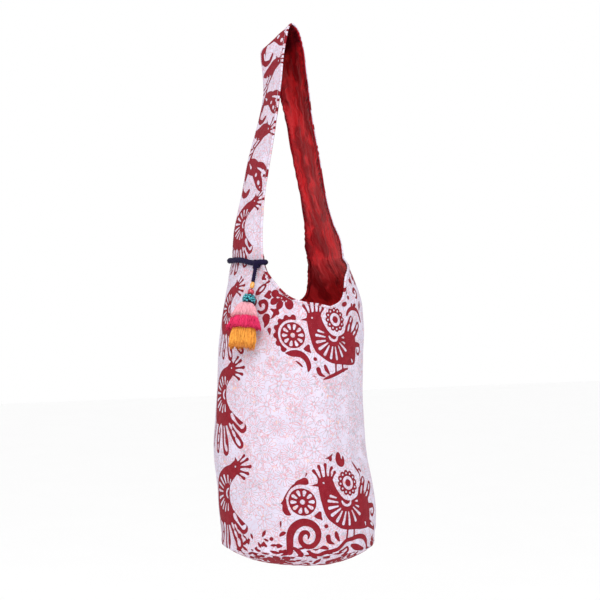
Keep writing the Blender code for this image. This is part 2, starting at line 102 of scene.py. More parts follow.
Strap = namedtuple("Strap", "x back z half inward twist tilt")
STRAP = [
    Strap(-0.0824, 0.001, -0.3510, 0.0515, 0.067, 0.0, 0.00),
    Strap(-0.0781, 0.003, -0.3240, 0.0450, 0.060, 2.5, 0.00),
    Strap(-0.0723, 0.006, -0.2955, 0.0400, 0.050, 4.0, 0.00),
    Strap(-0.0624, 0.010, -0.2520, 0.0370, 0.042, 1.5, 0.00),
    Strap(-0.0490, 0.015, -0.1980, 0.0360, 0.036, 1.0, 0.03),
    Strap(-0.0336, 0.021, -0.1426, 0.0350, 0.030, -3.3, 0.10),
    Strap(-0.0235, 0.025, -0.0992, 0.0350, 0.026, -5.0, 0.20),
    Strap(-0.0184, 0.030, -0.0595, 0.0350, 0.020, -1.0, 0.33),
    Strap(-0.0152, 0.033, -0.0310, 0.0350, 0.014, 7.0, 0.40),
    Strap(-0.0130, 0.034, -0.0188, 0.0350, 0.011, 11.0, 0.42),
    Strap(-0.0068, 0.035, -0.0128, 0.0350, 0.010, 12.0, 0.42),
    Strap(0.0010, 0.0345, -0.0168, 0.0350, 0.011, 12.5, 0.41),
    Strap(0.0070, 0.034, -0.0275, 0.0350, 0.014, 13.0, 0.39),
    Strap(0.0139, 0.031, -0.0525, 0.0350, 0.020, 11.0, 0.33),
    Strap(0.0212, 0.025, -0.0992, 0.0350, 0.026, 6.4, 0.20),
    Strap(0.0274, 0.021, -0.1426, 0.0350, 0.030, 2.6, 0.10),
    Strap(0.0360, 0.015, -0.1980, 0.0360, 0.036, 2.0, 0.03),
    Strap(0.0456, 0.010, -0.2520, 0.0375, 0.042, -1.5, 0.00),
    Strap(0.0548, 0.006, -0.2955, 0.0435, 0.050, -1.8, 0.00),
    Strap(0.0628, 0.003, -0.3240, 0.0515, 0.060, 0.9, 0.00),
    Strap(0.0672, 0.000, -0.3510, 0.0570, 0.067, 1.5, 0.00),
]
APEX_PLACE = 10.0

Fold = namedtuple("Fold", "bearing z reach_round reach_up depth")
FOLDS = [
    Fold(-17, -0.560, 7, 0.060, 0.0022),
    Fold(-3, -0.500, 14, 0.070, -0.0016),
    Fold(32, -0.590, 12, 0.080, 0.0020),
    Fold(-58, -0.640, 12, 0.070, 0.0018),
    Fold(62, -0.500, 10, 0.060, 0.0022),
    Fold(-40, -0.745, 8, 0.025, 0.0024),
    Fold(18, -0.752, 7, 0.022, 0.0022),
    Fold(118, -0.600, 14, 0.090, 0.0026),
    Fold(160, -0.520, 12, 0.070, 0.0024),
    Fold(-150, -0.620, 13, 0.090, 0.0026),
    Fold(-112, -0.540, 11, 0.080, 0.0020),
]

# Finer creases of the cloth alone: flat place (mm), direction (degrees), length, width and depth (mm)
Crease = namedtuple("Crease", "s t turn length width depth")
CREASES = [
    Crease(-30, -556, 88, 62, 3.2, 0.9),
    Crease(-22, -552, 92, 40, 3.0, -0.5),
    Crease(22, -520, 78, 60, 6.0, 0.6),
    Crease(-120, -395, 60, 34, 4.0, 0.8),
    Crease(-142, -372, 72, 26, 3.5, 0.7),
    Crease(-165, -374, 85, 26, 3.5, 0.7),
    Crease(-190, -374, 97, 26, 3.5, 0.7),
    Crease(-214, -372, 108, 26, 3.5, 0.7),
    Crease(-152, -346, 100, 20, 3.0, -0.5),
    Crease(-178, -346, 88, 20, 3.0, -0.5),
    Crease(-203, -346, 80, 20, 3.0, -0.5),
    Crease(-150, -760, 20, 40, 4.0, 1.0),
    Crease(-128, -770, 12, 46, 3.5, -0.7),
    Crease(-96, -768, 168, 40, 4.0, 0.8),
    Crease(96, -764, 12, 50, 4.5, 0.9),
    Crease(128, -756, 160, 46, 4.5, -0.7),
    Crease(150, -744, 30, 60, 5.0, 0.9),
    Crease(88, -470, 70, 80, 6.0, 0.8),
    Crease(118, -560, 82, 90, 6.0, 0.9),
    Crease(140, -420, 105, 70, 6.0, 0.9),
    Crease(210, -640, 80, 110, 8.0, 1.0),
    Crease(262, -500, 96, 120, 7.0, 1.0),
    Crease(330, -600, 86, 90, 7.0, 0.9),
    Crease(420, -560, 92, 120, 8.0, 1.0),
    Crease(470, -690, 70, 90, 7.0, 0.9),
    Crease(300, -745, 15, 70, 5.0, 0.8),
    Crease(400, -762, 170, 60, 5.0, 0.8),
]

# How finely the cloth is divided
ROOT_COLUMNS = 40
SCOOP_COLUMNS = 98
WALL_ROWS = 290
STRAP_ROWS = 520

# The flat cloth in mm: half the way round, and where the sides are
HALF_ROUND = 360.0
SIDE_S = 180.0

# Rows of the strap's table over which it turns into the wall, and how fast it changes side at its fold
ROOT_BLEND = 1.6
FOLD_SWITCH = 1.2


def unit(vectors):
    """The vectors at length one."""
    return vectors / np.maximum(np.linalg.norm(vectors, axis=-1, keepdims=True), 1e-12)


def bump_of(distance, reach):
    """A smooth bump: one at no distance and nearly nothing past its reach."""
    return np.exp(-((distance / reach) ** 2))


def curve_through(rows, place):
    """Rows of a table at places along it, read on a smooth curve through its rows."""
    table = np.array(rows, float)
    place = np.atleast_1d(np.asarray(place, float))
    first = np.clip(place.astype(int), 0, len(table) - 2)
    t = (place - first)[:, None]
    before = table[np.maximum(first - 1, 0)]
    here = table[first]
    ahead = table[first + 1]
    after = table[np.minimum(first + 2, len(table) - 1)]
    slope_in = (ahead - before) / 2
    slope_out = (after - here) / 2
    square = 3 * (ahead - here) - 2 * slope_in - slope_out
    cube = 2 * (here - ahead) + slope_in + slope_out
    return here + slope_in * t + square * t**2 + cube * t**3


def run_along(path):
    """How far along a path each of its points is."""
    return np.concatenate(([0], np.cumsum(np.linalg.norm(np.diff(path, axis=0), axis=1))))


def read_at(places, run, values):
    """Rows of values at places along a path."""
    return np.stack([np.interp(places, run, values[:, k]) for k in range(values.shape[1])], 1)


def rows_where(rows, column, values):
    """Rows of a table where a rising column has these values."""
    places = np.linspace(0, len(rows) - 1, 3001)
    known = curve_through(rows, places)[:, column]
    return curve_through(rows, np.interp(np.ravel(values), known, places))


def bearing_of(side, angle):
    """Degrees round the bag from the middle of the front, of the wall's sides and angles."""
    turn = np.radians(angle)
    return np.degrees(np.arctan2(side * np.cos(turn), -np.sin(turn)))


def wall_points(side, angle, z):
    """Points of the wall's outer face: side is -1 or 1, and angle runs from the side to the back."""
    form = np.shape(z)
    side, angle, z = (np.ravel(np.broadcast_to(v, form)).astype(float) for v in (side, angle, z))
    row = rows_where(BODY, 0, z)
    turn = np.radians(angle)
    bearing = bearing_of(side, angle)
    press = np.zeros_like(z)
    for fold in FOLDS:
        off = (bearing - fold.bearing + 180) % 360 - 180
        press += fold.depth * np.exp(-((off / fold.reach_round) ** 2) - ((z - fold.z) / fold.reach_up) ** 2)
    x = row[:, 1] + side * (row[:, 2] - press) * np.cos(turn)
    y = (row[:, 3] - press) * np.sin(turn)
    return np.stack((x, y, z), -1).reshape(*form, 3)


def strap_points(place, across):
    """Points of the strap's outer face: across runs from -1 at its front edge to 1 at its back edge."""
    form = np.shape(place)
    row = curve_through(STRAP, np.ravel(place))
    across = np.ravel(np.broadcast_to(across, form))
    x, back, z, half, inward, twist, tilt = row.T
    side = np.clip((np.ravel(place) - APEX_PLACE) * FOLD_SWITCH, -1, 1)
    turn = half * across / CUT_RADIUS
    hollow = inward * (1 - np.cos(turn))
    y = CUT_RADIUS * np.sin(turn)
    twist = np.radians(twist)
    found = np.stack((x - side * hollow - y * np.sin(twist), back + y * np.cos(twist), z - tilt * y), -1)
    return found.reshape(*form, 3)


def top_of(side, angle):
    """Height of the wall's upper edge at each column."""
    rim = rows_where(RIM, 0, np.abs(angle))
    column = 1 if side < 0 else 3
    found = np.where(np.asarray(angle) < 0, rim[:, column], rim[:, column + 1])
    return np.where(np.abs(angle) <= ROOT_ANGLE[side] + 1e-6, ROOT_Z, found)


def normals_of(grid):
    """Outward normals of a grid of points."""
    return unit(np.cross(np.gradient(grid, axis=1), np.gradient(grid, axis=0)))


def lattice_noise(x, y, seed, around=64):
    """Smooth noise from -1 to 1, the same on each run. It repeats after `around` steps of x."""
    size = 64
    table = np.random.RandomState(seed).uniform(-1, 1, (around, size))
    xi, yi = np.floor(x).astype(int), np.floor(y).astype(int)
    fx, fy = x - xi, y - yi
    fx, fy = fx * fx * (3 - 2 * fx), fy * fy * (3 - 2 * fy)
    a = table[xi % around, yi % size]
    b = table[(xi + 1) % around, yi % size]
    c = table[xi % around, (yi + 1) % size]
    d = table[(xi + 1) % around, (yi + 1) % size]
    return (a * (1 - fx) + b * fx) * (1 - fy) + (c * (1 - fx) + d * fx) * fy


# The walls' slow waves and small dents, and the puckers at the seam: cells or reach and height in mm
Wave = namedtuple("Wave", "wide tall height seed around")
WAVES = (Wave(24, 40, 0.45, 3, 30), Wave(9, 12, 0.16, 4, 80))
PUCKER_REACH = 8.0
PUCKER_HEIGHT = 0.55
PUCKER_STEP = 9.0


def crease_height(s, t):
    """How far the fine creases push the cloth out, in metres, at flat places in mm."""
    height = np.zeros_like(s)
    for crease in CREASES:
        turn = math.radians(crease.turn)
        for shift in (-2 * HALF_ROUND, 0, 2 * HALF_ROUND):
            ds, dt = s - crease.s - shift, t - crease.t
            along = ds * math.cos(turn) + dt * math.sin(turn)
            aside = -ds * math.sin(turn) + dt * math.cos(turn)
            height -= crease.depth * bump_of(along * 2, crease.length) * bump_of(aside, crease.width)
    for wave in WAVES:
        height += wave.height * lattice_noise(s / wave.wide, t / wave.tall, wave.seed, wave.around)
    wander = 2 * lattice_noise(s / 30, t / 50, 5, 24)
    height += PUCKER_HEIGHT * bump_of(t - SEAM_Z / MM, PUCKER_REACH) * np.sin(s * math.pi / PUCKER_STEP + wander)
    return height * MM


Patch = namedtuple("Patch", "grid normal s t")


def joined(patches):
    """The same patches, with one normal at each place that two of them share along their edges."""
    normals = [normals_of(patch.grid) for patch in patches]
    shared = {}
    for which, patch in enumerate(patches):
        rows, columns = patch.grid.shape[:2]
        rim = [(row, column) for row in (0, rows - 1) for column in range(columns)]
        rim += [(row, column) for row in range(1, rows - 1) for column in (0, columns - 1)]
        for row, column in rim:
            key = tuple(np.round(patch.grid[row, column] * 5e4 + 0.137).astype(int))
            shared.setdefault(key, []).append((which, row, column))
    for places in shared.values():
        if len(places) > 1:
            total = unit(sum(normals[which][row, column] for which, row, column in places))
            for which, row, column in places:
                normals[which][row, column] = total
    return [patch._replace(normal=normal) for patch, normal in zip(patches, normals)]


def wall_patch(front, spread=1.0, rows=WALL_ROWS):
    """Half of the wall, front or back: rows run up and columns run round, anticlockwise from above."""
    root_columns = max(2, round(ROOT_COLUMNS * spread))
    scoop_columns = max(2, round(SCOOP_COLUMNS * spread))

    def quarter(side):
        root = ROOT_ANGLE[side]
        scoop = np.linspace(root, 90, scoop_columns + 1)[1:]
        return np.concatenate((np.linspace(0, root, root_columns + 1), scoop))

    first, last = (-1, 1) if front else (1, -1)
    sign = -1 if front else 1
    ring = [(first, sign * a) for a in quarter(first)] + [(last, sign * a) for a in quarter(last)[-2::-1]]
    side, angle = np.array(ring, float).T
    top = np.empty(len(ring))
    for which in (-1, 1):
        top[side == which] = top_of(which, angle[side == which])
    share = np.linspace(0, 1, rows + 1)[:, None]
    z = SEAM_Z + (top - SEAM_Z)[None, :] * share
    grid = wall_points(side[None, :], angle[None, :], z)
    flat = bearing_of(side, angle) / 180 * HALF_ROUND
    if not front:
        flat = np.where(flat < 0, flat + 2 * HALF_ROUND, flat)
    return Patch(grid, normals_of(grid), np.broadcast_to(flat, z.shape), z / MM)


def strap_patch(spread=1.0, rows=STRAP_ROWS):
    """The whole strap from the left root to the right one: rows run along it, columns across it."""
    columns = 2 * max(2, round(ROOT_COLUMNS * spread))
    place = np.linspace(0, len(STRAP) - 1, rows + 1)[:, None]
    across = np.linspace(1, -1, columns + 1)[None, :]
    place, across = np.broadcast_arrays(place, across)
    grid = strap_points(place, across)
    roots = []
    for end, side in ((0, -1), (-1, 1)):
        fade = np.clip(1 - np.abs(place - place[end][None, :]) / ROOT_BLEND, 0, 1) ** 2
        angle = across[end] * ROOT_ANGLE[side]
        roots.append((end, side, fade, angle))
        wall = wall_points(side, angle, np.full(columns + 1, ROOT_Z))
        grid = grid + fade[..., None] * (wall - grid[end])[None, :, :]
    middle = grid[:, columns // 2]
    run = run_along(middle)
    left = run <= np.interp(APEX_PLACE, place[:, 0], run)
    height = ROOT_Z + np.where(left, run, run[-1] - run)
    half = curve_through(STRAP, place[:, 0])[:, 3] / MM
    s = np.where(left[:, None], -SIDE_S - across * half[:, None], SIDE_S + across * half[:, None])
    for end, side, fade, angle in roots:
        s = s + fade * (bearing_of(side, angle) / 180 * HALF_ROUND - s[end])[None, :]
    return Patch(grid, normals_of(grid), s, np.broadcast_to(height[:, None], s.shape) / MM)


# The print
def polar(radius, degrees, cx=0.0, cy=0.0):
    """The point at a radius and a direction from a centre."""
    return cx + radius * math.cos(math.radians(degrees)), cy + radius * math.sin(math.radians(degrees))


def ring_of(count, start, end):
    """Angles in degrees, evenly spaced from start to end."""
    return [start + (end - start) * k / max(count - 1, 1) for k in range(count)]


def spread_points(points, steps, closed=False):
    """Points of a smooth curve through the given ones."""
    table = list(points)
    if closed:
        table = table[-1:] + table + table[:2]
        places = 1 + np.linspace(0, len(points), steps * len(points), endpoint=False)
    else:
        places = np.linspace(0, len(points) - 1, steps * (len(points) - 1) + 1)
    return curve_through(table, places)


def all_of(parts):
    """Several shapes as one."""
    return np.minimum.reduce(list(parts))


def cut(field, *holes):
    """A shape without its holes."""
    for hole in holes:
        field = np.maximum(field, -hole)
    return field


class Pen:
    """Draws shapes at flat places in mm: each is the distance outside its edge, and below zero inside."""

    def __init__(self, x, y):
        self.x, self.y = x, y

    def local(self, cx, cy, turn):
        """The places as seen from a centre, turned."""
        c, s = math.cos(math.radians(turn)), math.sin(math.radians(turn))
        return (self.x - cx) * c + (self.y - cy) * s, -(self.x - cx) * s + (self.y - cy) * c

    def disc(self, cx, cy, radius):
        return np.hypot(self.x - cx, self.y - cy) - radius

    def oval(self, cx, cy, long, short, turn=0.0):
        u, v = self.local(cx, cy, turn)
        return (np.hypot(u / long, v / short) - 1) * min(long, short)

    def drop(self, ax, ay, bx, by, start, end):
        """A rounded stroke from a to b, whose half width goes from start to end."""
        dx, dy = bx - ax, by - ay
        h = np.clip(((self.x - ax) * dx + (self.y - ay) * dy) / (dx * dx + dy * dy), 0, 1)
        return np.hypot(self.x - ax - h * dx, self.y - ay - h * dy) - (start + (end - start) * h)

    def stroke(self, points, widths, steps=5):
        """A stroke along a smooth curve, with a half width given at each of its points."""
        line = spread_points([(px, py, w) for (px, py), w in zip(points, widths)], steps)
        return all_of(self.drop(a[0], a[1], b[0], b[1], a[2], b[2]) for a, b in zip(line[:-1], line[1:]))

    def tapered(self, rows):
        """A stroke whose rows give its places and half widths."""
        return self.stroke([row[:2] for row in rows], [row[2] for row in rows])

    def shape(self, points, steps=5):
        """The inside of a smooth closed outline."""
        x, y = self.x, self.y
        line = spread_points(points, steps, closed=True)
        nearest = np.full(np.shape(x), 1e6)
        inside = np.zeros(np.shape(x), bool)
        for (ax, ay), (bx, by) in zip(line, np.roll(line, -1, axis=0)):
            dx, dy = bx - ax, by - ay
            h = np.clip(((x - ax) * dx + (y - ay) * dy) / max(dx * dx + dy * dy, 1e-9), 0, 1)
            nearest = np.minimum(nearest, (x - ax - h * dx) ** 2 + (y - ay - h * dy) ** 2)
            crosses = (ay > y) != (by > y)
            inside ^= crosses & (x < (bx - ax) * (y - ay) / (by - ay if by != ay else 1e-9) + ax)
        return np.where(inside, -1, 1) * np.sqrt(nearest)

    def spokes(self, cx, cy, count, turn, inner, outer, start, end):
        """Drops set round a centre: each runs from the inner radius to the outer one."""
        for k in range(count):
            degrees = turn + 360 * k / count
            yield self.drop(*polar(inner, degrees, cx, cy), *polar(outer, degrees, cx, cy), start, end)

    def wheel(self, cx, cy, radius):
        """A disc with a light hub and ten light petals."""
        petals = self.spokes(cx, cy, 10, 0, radius * 0.50, radius * 0.75, radius * 0.075, radius * 0.135)
        return cut(self.disc(cx, cy, radius), self.disc(cx, cy, radius * 0.18), *petals)

    def petalled(self, cx, cy, radius, count, turn=0.0):
        """A flower of plain round petals with a small light eye."""
        petals = self.spokes(cx, cy, count, turn, radius * 0.25, radius * 0.72, radius * 0.12, radius * 0.30)
        field = all_of([self.disc(cx, cy, radius * 0.35), *petals])
        return cut(field, self.disc(cx, cy, radius * 0.10))

    def scalloped_arc(self, cx, cy, inner, outer, start, end, lumps):
        """A band round part of a wheel, with lumps on its outer edge."""
        arc = [polar((inner + outer) / 2, a, cx, cy) for a in ring_of(12, start, end)]
        field = self.stroke(arc, [(outer - inner) / 2] * len(arc), 2)
        for degrees in ring_of(lumps, start + 5, end - 5):
            field = np.minimum(field, self.disc(*polar(outer - 0.6, degrees, cx, cy), 4.3))
        return cut(field, self.disc(cx, cy, inner))

    def flower_ring(self, cx, cy, radius):
        """A round flower: scalloped edge with a dot in each scallop, a light ring and a dark middle."""
        rim = [self.disc(cx, cy, radius * 0.86)]
        light = np.maximum(self.disc(cx, cy, radius * 0.53), -self.disc(cx, cy, radius * 0.29))
        holes = [light]
        for degrees in ring_of(12, 0, 330):
            rim.append(self.disc(*polar(radius * 0.80, degrees, cx, cy), radius * 0.21))
            holes.append(self.disc(*polar(radius * 0.76, degrees, cx, cy), radius * 0.085))
        return cut(all_of(rim), *holes)

    def heart(self, cx, cy, size, turn=0.0):
        u, v = self.local(cx, cy, turn)
        right = [(0.55, -0.35), (0.95, 0.3), (0.6, 0.85), (0.12, 0.62)]
        outline = [(0, -1.0), *right, (0, 0.45), *[(-a, b) for a, b in reversed(right)]]
        return Pen(u / size, v / size).shape(outline) * size

    def comma(self, cx, cy, size, turn=0.0):
        """A comma: a round head with a curved tail."""
        places = [polar(size * r, a + turn, cx, cy) for r, a in ((0.45, 90), (0.42, -20), (1.05, -80))]
        return self.stroke(places, [size * 0.5, size * 0.36, size * 0.06])

    def hook(self, cx, cy, size, turn=0.0):
        """An open curl with a short tail inwards."""
        arc = [polar(size * 0.78, a + turn, cx, cy) for a in (120, 70, 20, -40, -100, -150)]
        field = self.stroke(arc, [size * w for w in (0.30, 0.30, 0.27, 0.27, 0.24, 0.12)])
        tail = [polar(size * 0.78, 120 + turn, cx, cy), polar(size * 0.25, 150 + turn, cx, cy)]
        return np.minimum(field, self.stroke(tail, [size * 0.28, size * 0.16]))

    def leaf(self, cx, cy, size, turn=0.0):
        """A leaf, pointed at both ends."""
        ends = [polar(size, turn + half, cx, cy) for half in (0, 180)]
        return self.stroke([ends[0], (cx, cy), ends[1]], [size * 0.06, size * 0.42, size * 0.06], 6)

    def bird(self, bird):
        """A printed bird."""
        field = all_of([self.shape(bird.outline)] + [self.tapered(rows) for rows in bird.feathers])
        holes = [self.disc(*bird.eye), self.tapered(bird.smile)]
        for outer_x, outer_y, inner_x, inner_y, width in bird.petals:
            holes.append(self.drop(inner_x, inner_y, outer_x, outer_y, width * 0.45, width))
        holes += [self.tapered(rows) for rows in bird.feather_cuts]
        return all_of([cut(field, *holes)] + [self.tapered(rows) for rows in bird.crest])


# A printed bird, in mm: it faces left, with its crest up and its tail feathers fanned out to the right.
# Strokes are lists of places, each with the stroke's half width there.
Bird = namedtuple("Bird", "outline crest eye petals smile feathers feather_cuts")
FAN_BIRD = Bird(
    outline=[
        (-40.5, 31), (-38.5, 37), (-33, 39), (-26, 40.5), (-18.5, 40), (-16, 34), (-14, 25), (-10, 16),
        (-5, 9), (0.7, 5), (9.5, 3.5),
        (18, 5.5), (24.5, 9), (28, 14.5), (31, 20), (37, 19), (45, 12), (50, 4), (53, -6), (53, -20),
        (51, -32), (47, -39.5),
        (40, -41), (30, -41), (16, -39.5), (4, -38.5), (-5, -37.2), (-14, -34), (-22, -28.5),
        (-31, -21), (-35, -14), (-37, -8), (-38.5, 0), (-40, 10), (-40.5, 20),
    ],
    crest=[
        [(-37, 36, 2.0), (-39, 42, 1.5), (-43, 49, 2.7)],
        [(-32.5, 38, 2.0), (-33, 46, 1.4), (-34.5, 55, 2.7)],
        [(-26, 39, 2.0), (-25, 48, 1.4), (-24.2, 57, 2.7)],
        [(-19.5, 39, 1.9), (-18, 47, 1.5), (-14.5, 52, 2.5)],
        [(-17, 37, 1.8), (-14, 41, 1.4), (-10.5, 45.5, 2.4)],
        [(-38, 29, 3.0), (-44, 28.7, 1.7), (-50, 28.3, 0.5)],
    ],
    eye=(-31.5, 31.5, 1.5),
    petals=[
        (-24, 12.3, -15.5, 9.2, 2.0), (-28.3, 5.6, -14, 2.7, 2.1), (-28.3, -4.6, -14.5, -2.7, 2.3),
        (-25.3, -14.6, -11, -6.4, 2.4),
        (-18.2, -23.4, -8.8, -10.5, 2.3), (-8, -28.6, -2.7, -12, 2.2), (3.4, -30.4, 2.3, -12.5, 2.1),
        (16, -26.4, 8.8, -11, 2.1),
        (24.7, -18.2, 12, -6.8, 2.1), (23.5, -7.3, 17, -4.4, 1.5), (22, 1.2, 17.6, 1.6, 1.6),
        (40.5, -35.5, 37.5, -31.5, 2.0),
    ],
    smile=[(-7, 3.6, 1.2), (-4.3, -0.6, 1.9), (1, -3, 1.7), (6.3, -1.4, 1.9), (8.6, 2.6, 1.2)],
    feathers=[
        [(32, 8, 4.5), (39, 19, 5.8), (47, 29, 5.4)], [(42, 0, 5), (55, 10, 6.0), (66, 19.5, 5.6)],
        [(48, -10, 4.4), (60, -10.5, 3.8), (68, -12, 2.8)],
        [(66, -12, 2.2), (70, -18.5, 2.3), (64, -25.5, 2.4), (57, -22.5, 1.8), (58.5, -18, 1.2)],
    ],
    feather_cuts=[
        [(34, 11, 1.0), (37.5, 17, 1.9), (40.5, 21, 1.0)], [(43, 25, 1.0), (46, 28.5, 1.8), (48, 31, 1.0)],
        [(47, 5.4, 1.0), (51, 8, 2.0), (54.5, 10.5, 1.0)],
        [(58.5, 13.5, 1.1), (62.5, 17, 2.1), (66, 20, 1.1)],
        [(42, 9, 0.6), (47, 15.5, 1.2), (54, 24, 2.0)],
    ],
)
ROW_BIRD = Bird(
    outline=[
        (-46, 13.5), (-45.5, 22), (-44, 25.5), (-38, 27), (-32.5, 26.5), (-28.5, 22), (-24, 18.5),
        (-18.5, 12.8), (-13, 8.8), (-7, 6.8),
        (0, 7), (6, 8.5), (12, 11.5), (17, 16), (21, 19.5), (26, 25), (33, 30), (41, 27), (44, 18), (45, 6),
        (45, -8), (44, -20),
        (38, -30), (26, -36), (12, -38), (-4, -37), (-16, -31), (-25, -23), (-31, -15), (-36.5, -5.5),
        (-40.5, 6),
    ],
    crest=[
        [(-45, 22.5, 2.0), (-49.5, 26, 1.2), (-54.5, 30.5, 2.4)],
        [(-42.5, 25, 2.2), (-46, 31, 1.4), (-50, 37, 2.6)],
        [(-38.5, 26, 2.2), (-39.5, 35, 1.4), (-40.5, 44, 2.6)],
        [(-33, 26, 2.2), (-32, 34, 1.4), (-30.5, 41.5, 2.5)],
        [(-29.5, 23, 2.0), (-26.5, 29.5, 1.4), (-23.5, 35.5, 2.5)],
        [(-45, 17, 3.6), (-48, 16, 1.7), (-51.5, 14.5, 0.6)],
    ],
    eye=(-38.5, 17.3, 1.4),
    petals=[
        (-19.5, 8.6, -12, 6.2, 1.1), (-23.7, 1.0, -14, 2.0, 2.0), (-23, -9.5, -13, -3.8, 2.1),
        (-18.5, -19, -10, -8, 2.2),
        (-10.5, -25.5, -5, -11.5, 2.1), (0, -28, 0, -12.5, 2.1), (11, -25.5, 5.5, -11.5, 2.1),
        (20, -20, 10, -8.5, 2.1),
        (24, -11.5, 13.5, -5.5, 2.1), (26, -1.5, 15.5, 0, 1.8), (24, 7.2, 14.5, 5.6, 1.6),
    ],
    smile=[(-6.3, 3.6, 0.9), (-4, 0.5, 1.6), (0.2, -1.2, 1.6), (4.5, 0.5, 1.6), (7, 4, 0.9)],
    feathers=[
        [(26, 20, 4), (33, 28, 5.5), (41, 38, 7.2), (46, 46.5, 7.4)],
        [(38, 15, 4.5), (50, 24.5, 5.4), (62, 35.5, 7.2), (69.5, 42.5, 6.6)],
        [(40, 3, 4), (54, 7.5, 6), (70, 11, 8), (81.5, 12.3, 7)],
        [(40, -8, 4), (54, -9, 5.5), (70, -12, 6.5), (82, -14, 5.5)],
        [(38, -20, 4), (50, -27, 5), (66, -36, 6), (78, -42, 5)],
    ],
    feather_cuts=[
        [(28.3, 23.4, 2.6), (31.5, 26.2, 3.2), (36, 31, 2.0), (40.5, 36.5, 1.2), (43.5, 41.5, 1.4),
        (44, 45.5, 3.2), (42.2, 47.6, 2.6)],
        [(41.5, 19.4, 1.4), (45, 22.4, 2.3), (48.5, 25, 1.3)],
        [(51.3, 26.8, 1.4), (55, 30, 2.5), (58.7, 33, 1.5)],
        [(61.6, 34.8, 1.8), (66, 38.6, 3.1), (70, 42, 2.0)],
        [(46.5, 5.3, 1.0), (54, 7.6, 1.7), (63, 8.6, 1.8), (71, 9.6, 2.0), (76, 12.2, 3.2), (80, 14.2, 2.4)],
        [(44, -3.4, 1.2), (50, -7.6, 2.0), (56, -8.4, 1.4)],
        [(60, -9.4, 1.4), (65, -10.6, 2.5), (70, -12, 1.5)],
        [(74, -12.4, 1.3), (78, -13.2, 2.2), (81.5, -14, 1.3)],
        [(44, -22, 1.2), (52, -28, 2.0), (64, -35, 1.8), (73, -39.5, 2.8)],
    ],
)


def row_bird(pen):
    """The bird of the row down the side."""
    return pen.bird(ROW_BIRD)


def strap_bird(pen):
    """The row's bird where the strap takes only a slip of it: head, thin neck and tail feathers."""
    field = all_of([
        pen.shape([(5, 66), (21.6, 61), (30.5, 54), (30, 47), (19.3, 44), (8, 41.5), (-5, 41), (-24, 48),
        (-30, 58), (-12, 63)]),
        pen.tapered([(12, 45, 3.0), (1.2, 37.5, 2.6), (-10.6, 29.5, 2.2), (-15.4, 20.7, 2.0),
        (-19.3, 10, 4.0)]),
        pen.shape([(-26, 7), (-13, 12), (2, 8.5), (14, 2), (29, -7), (28, -16), (12, -18), (-4, -17),
        (-18, -12), (-27, -4)]),
        pen.tapered([(11, -1, 4.5), (25, -3, 4.2), (34, -8, 3.4), (41, -14, 3.0), (42, -21, 2.8),
        (34, -20, 2.0)]),
        pen.tapered([(6, -12, 8.0), (14, -19, 9.0), (24, -30, 9.2), (31, -38, 6.0)]),
        pen.tapered([(-22, -6, 7.0), (-27, -20, 6.6), (-28, -34, 6.4), (-20, -45, 6.0), (-8, -46, 5.0),
        (-2, -41, 3.4)]),
    ])
    field = cut(
        field, pen.disc(23, 54, 1.5), pen.disc(11.5, -17, 3.0), pen.oval(22.5, -30, 4.6, 3.0, -48),
        pen.disc(29, -37.5, 1.6),
        pen.tapered([(-25, -24, 1.0), (-23.5, -35, 2.4), (-12, -41, 2.6)]),
        pen.tapered([(12, -6, 1.0), (22, -9.5, 1.8), (32, -14.5, 2.0)]),
        pen.tapered([(-18, 3, 1.0), (-10, -4, 2.2)]), pen.drop(-6, 44, -12, 34, 0.8, 1.6),
        pen.drop(-15, 47, -22, 38, 0.8, 1.6),
    )
    strokes = [
        [(18, 60, 2.4), (13, 69, 0.6)], [(27, 57, 2.0), (31, 62, 1.3), (34, 68, 2.2)],
        [(29, 54, 2.0), (36, 58, 1.3), (43, 61, 2.2)],
        [(29, 51, 2.0), (36, 51, 1.3), (43, 52, 2.2)], [(28, 48, 2.0), (34, 45, 1.3), (41, 42, 2.2)],
        [(-8, 42, 1.2), (-20, 33, 2.2)], [(-14, 30, 1.0), (-30, 26, 2.2)], [(-16, 22, 1.0), (-32, 16, 2.2)],
    ]
    return all_of([field] + [pen.tapered(row) for row in strokes])



SPIRAL = [
    (-87, -66, 4.3), (-87.3, -55, 5.0), (-86.8, -43, 5.4), (-82, -32, 5.6), (-73.5, -25, 5.6),
    (-64.5, -23, 5.4), (-55, -26.5, 5.0),
    (-48.6, -34, 4.6), (-46.8, -43, 4.3), (-49.5, -52, 4.0), (-56.2, -57.6, 3.7), (-64.3, -57.6, 3.5),
    (-70.8, -52.3, 3.3),
    (-72.2, -44.6, 3.4), (-69, -38.7, 3.5), (-64.2, -37.4, 3.1), (-60.6, -41, 2.3), (-61.6, -47, 0.9),
]
WHEEL_ARCS = [
    [
        (-74, 31), (-70, 35.5), (-64, 38), (-58, 40.2), (-53.8, 38), (-53.3, 32), (-57, 29.6), (-64, 30.2),
        (-71, 29.4), (-78, 25.5), (-77, 28),
    ],
    [
        (-90.5, 11.5), (-94, 6.5), (-96.8, 3), (-94.3, 0.8), (-95.3, -5.5), (-93.2, -11), (-89, -13.8),
        (-83.5, -12.8), (-86.3, -6), (-88, 2), (-88.3, 10),
    ],
]
BRANCH = [
    (-61, -65, 1.6), (-54.5, -70, 3.0), (-46, -71, 2.6), (-37, -68, 2.9), (-26, -66.4, 2.8), (-16, -64, 2.8),
    (-9.5, -59, 2.8),
    (-3.5, -54, 2.9), (3, -52.8, 2.9), (12, -52.4, 3.2), (22, -51, 3.6), (33, -52.5, 3.7), (41.5, -58.5, 3.6),
    (48, -70, 2.6),
]
OVOID = [
    (-3, 72.5), (-5.8, 66), (-5, 58), (-0.5, 53), (5, 52), (9.3, 55.5), (10.5, 61.5), (9.2, 67), (6.8, 66.5),
    (5.4, 61.5), (4.2, 66), (3, 71), (0, 73.6),
]
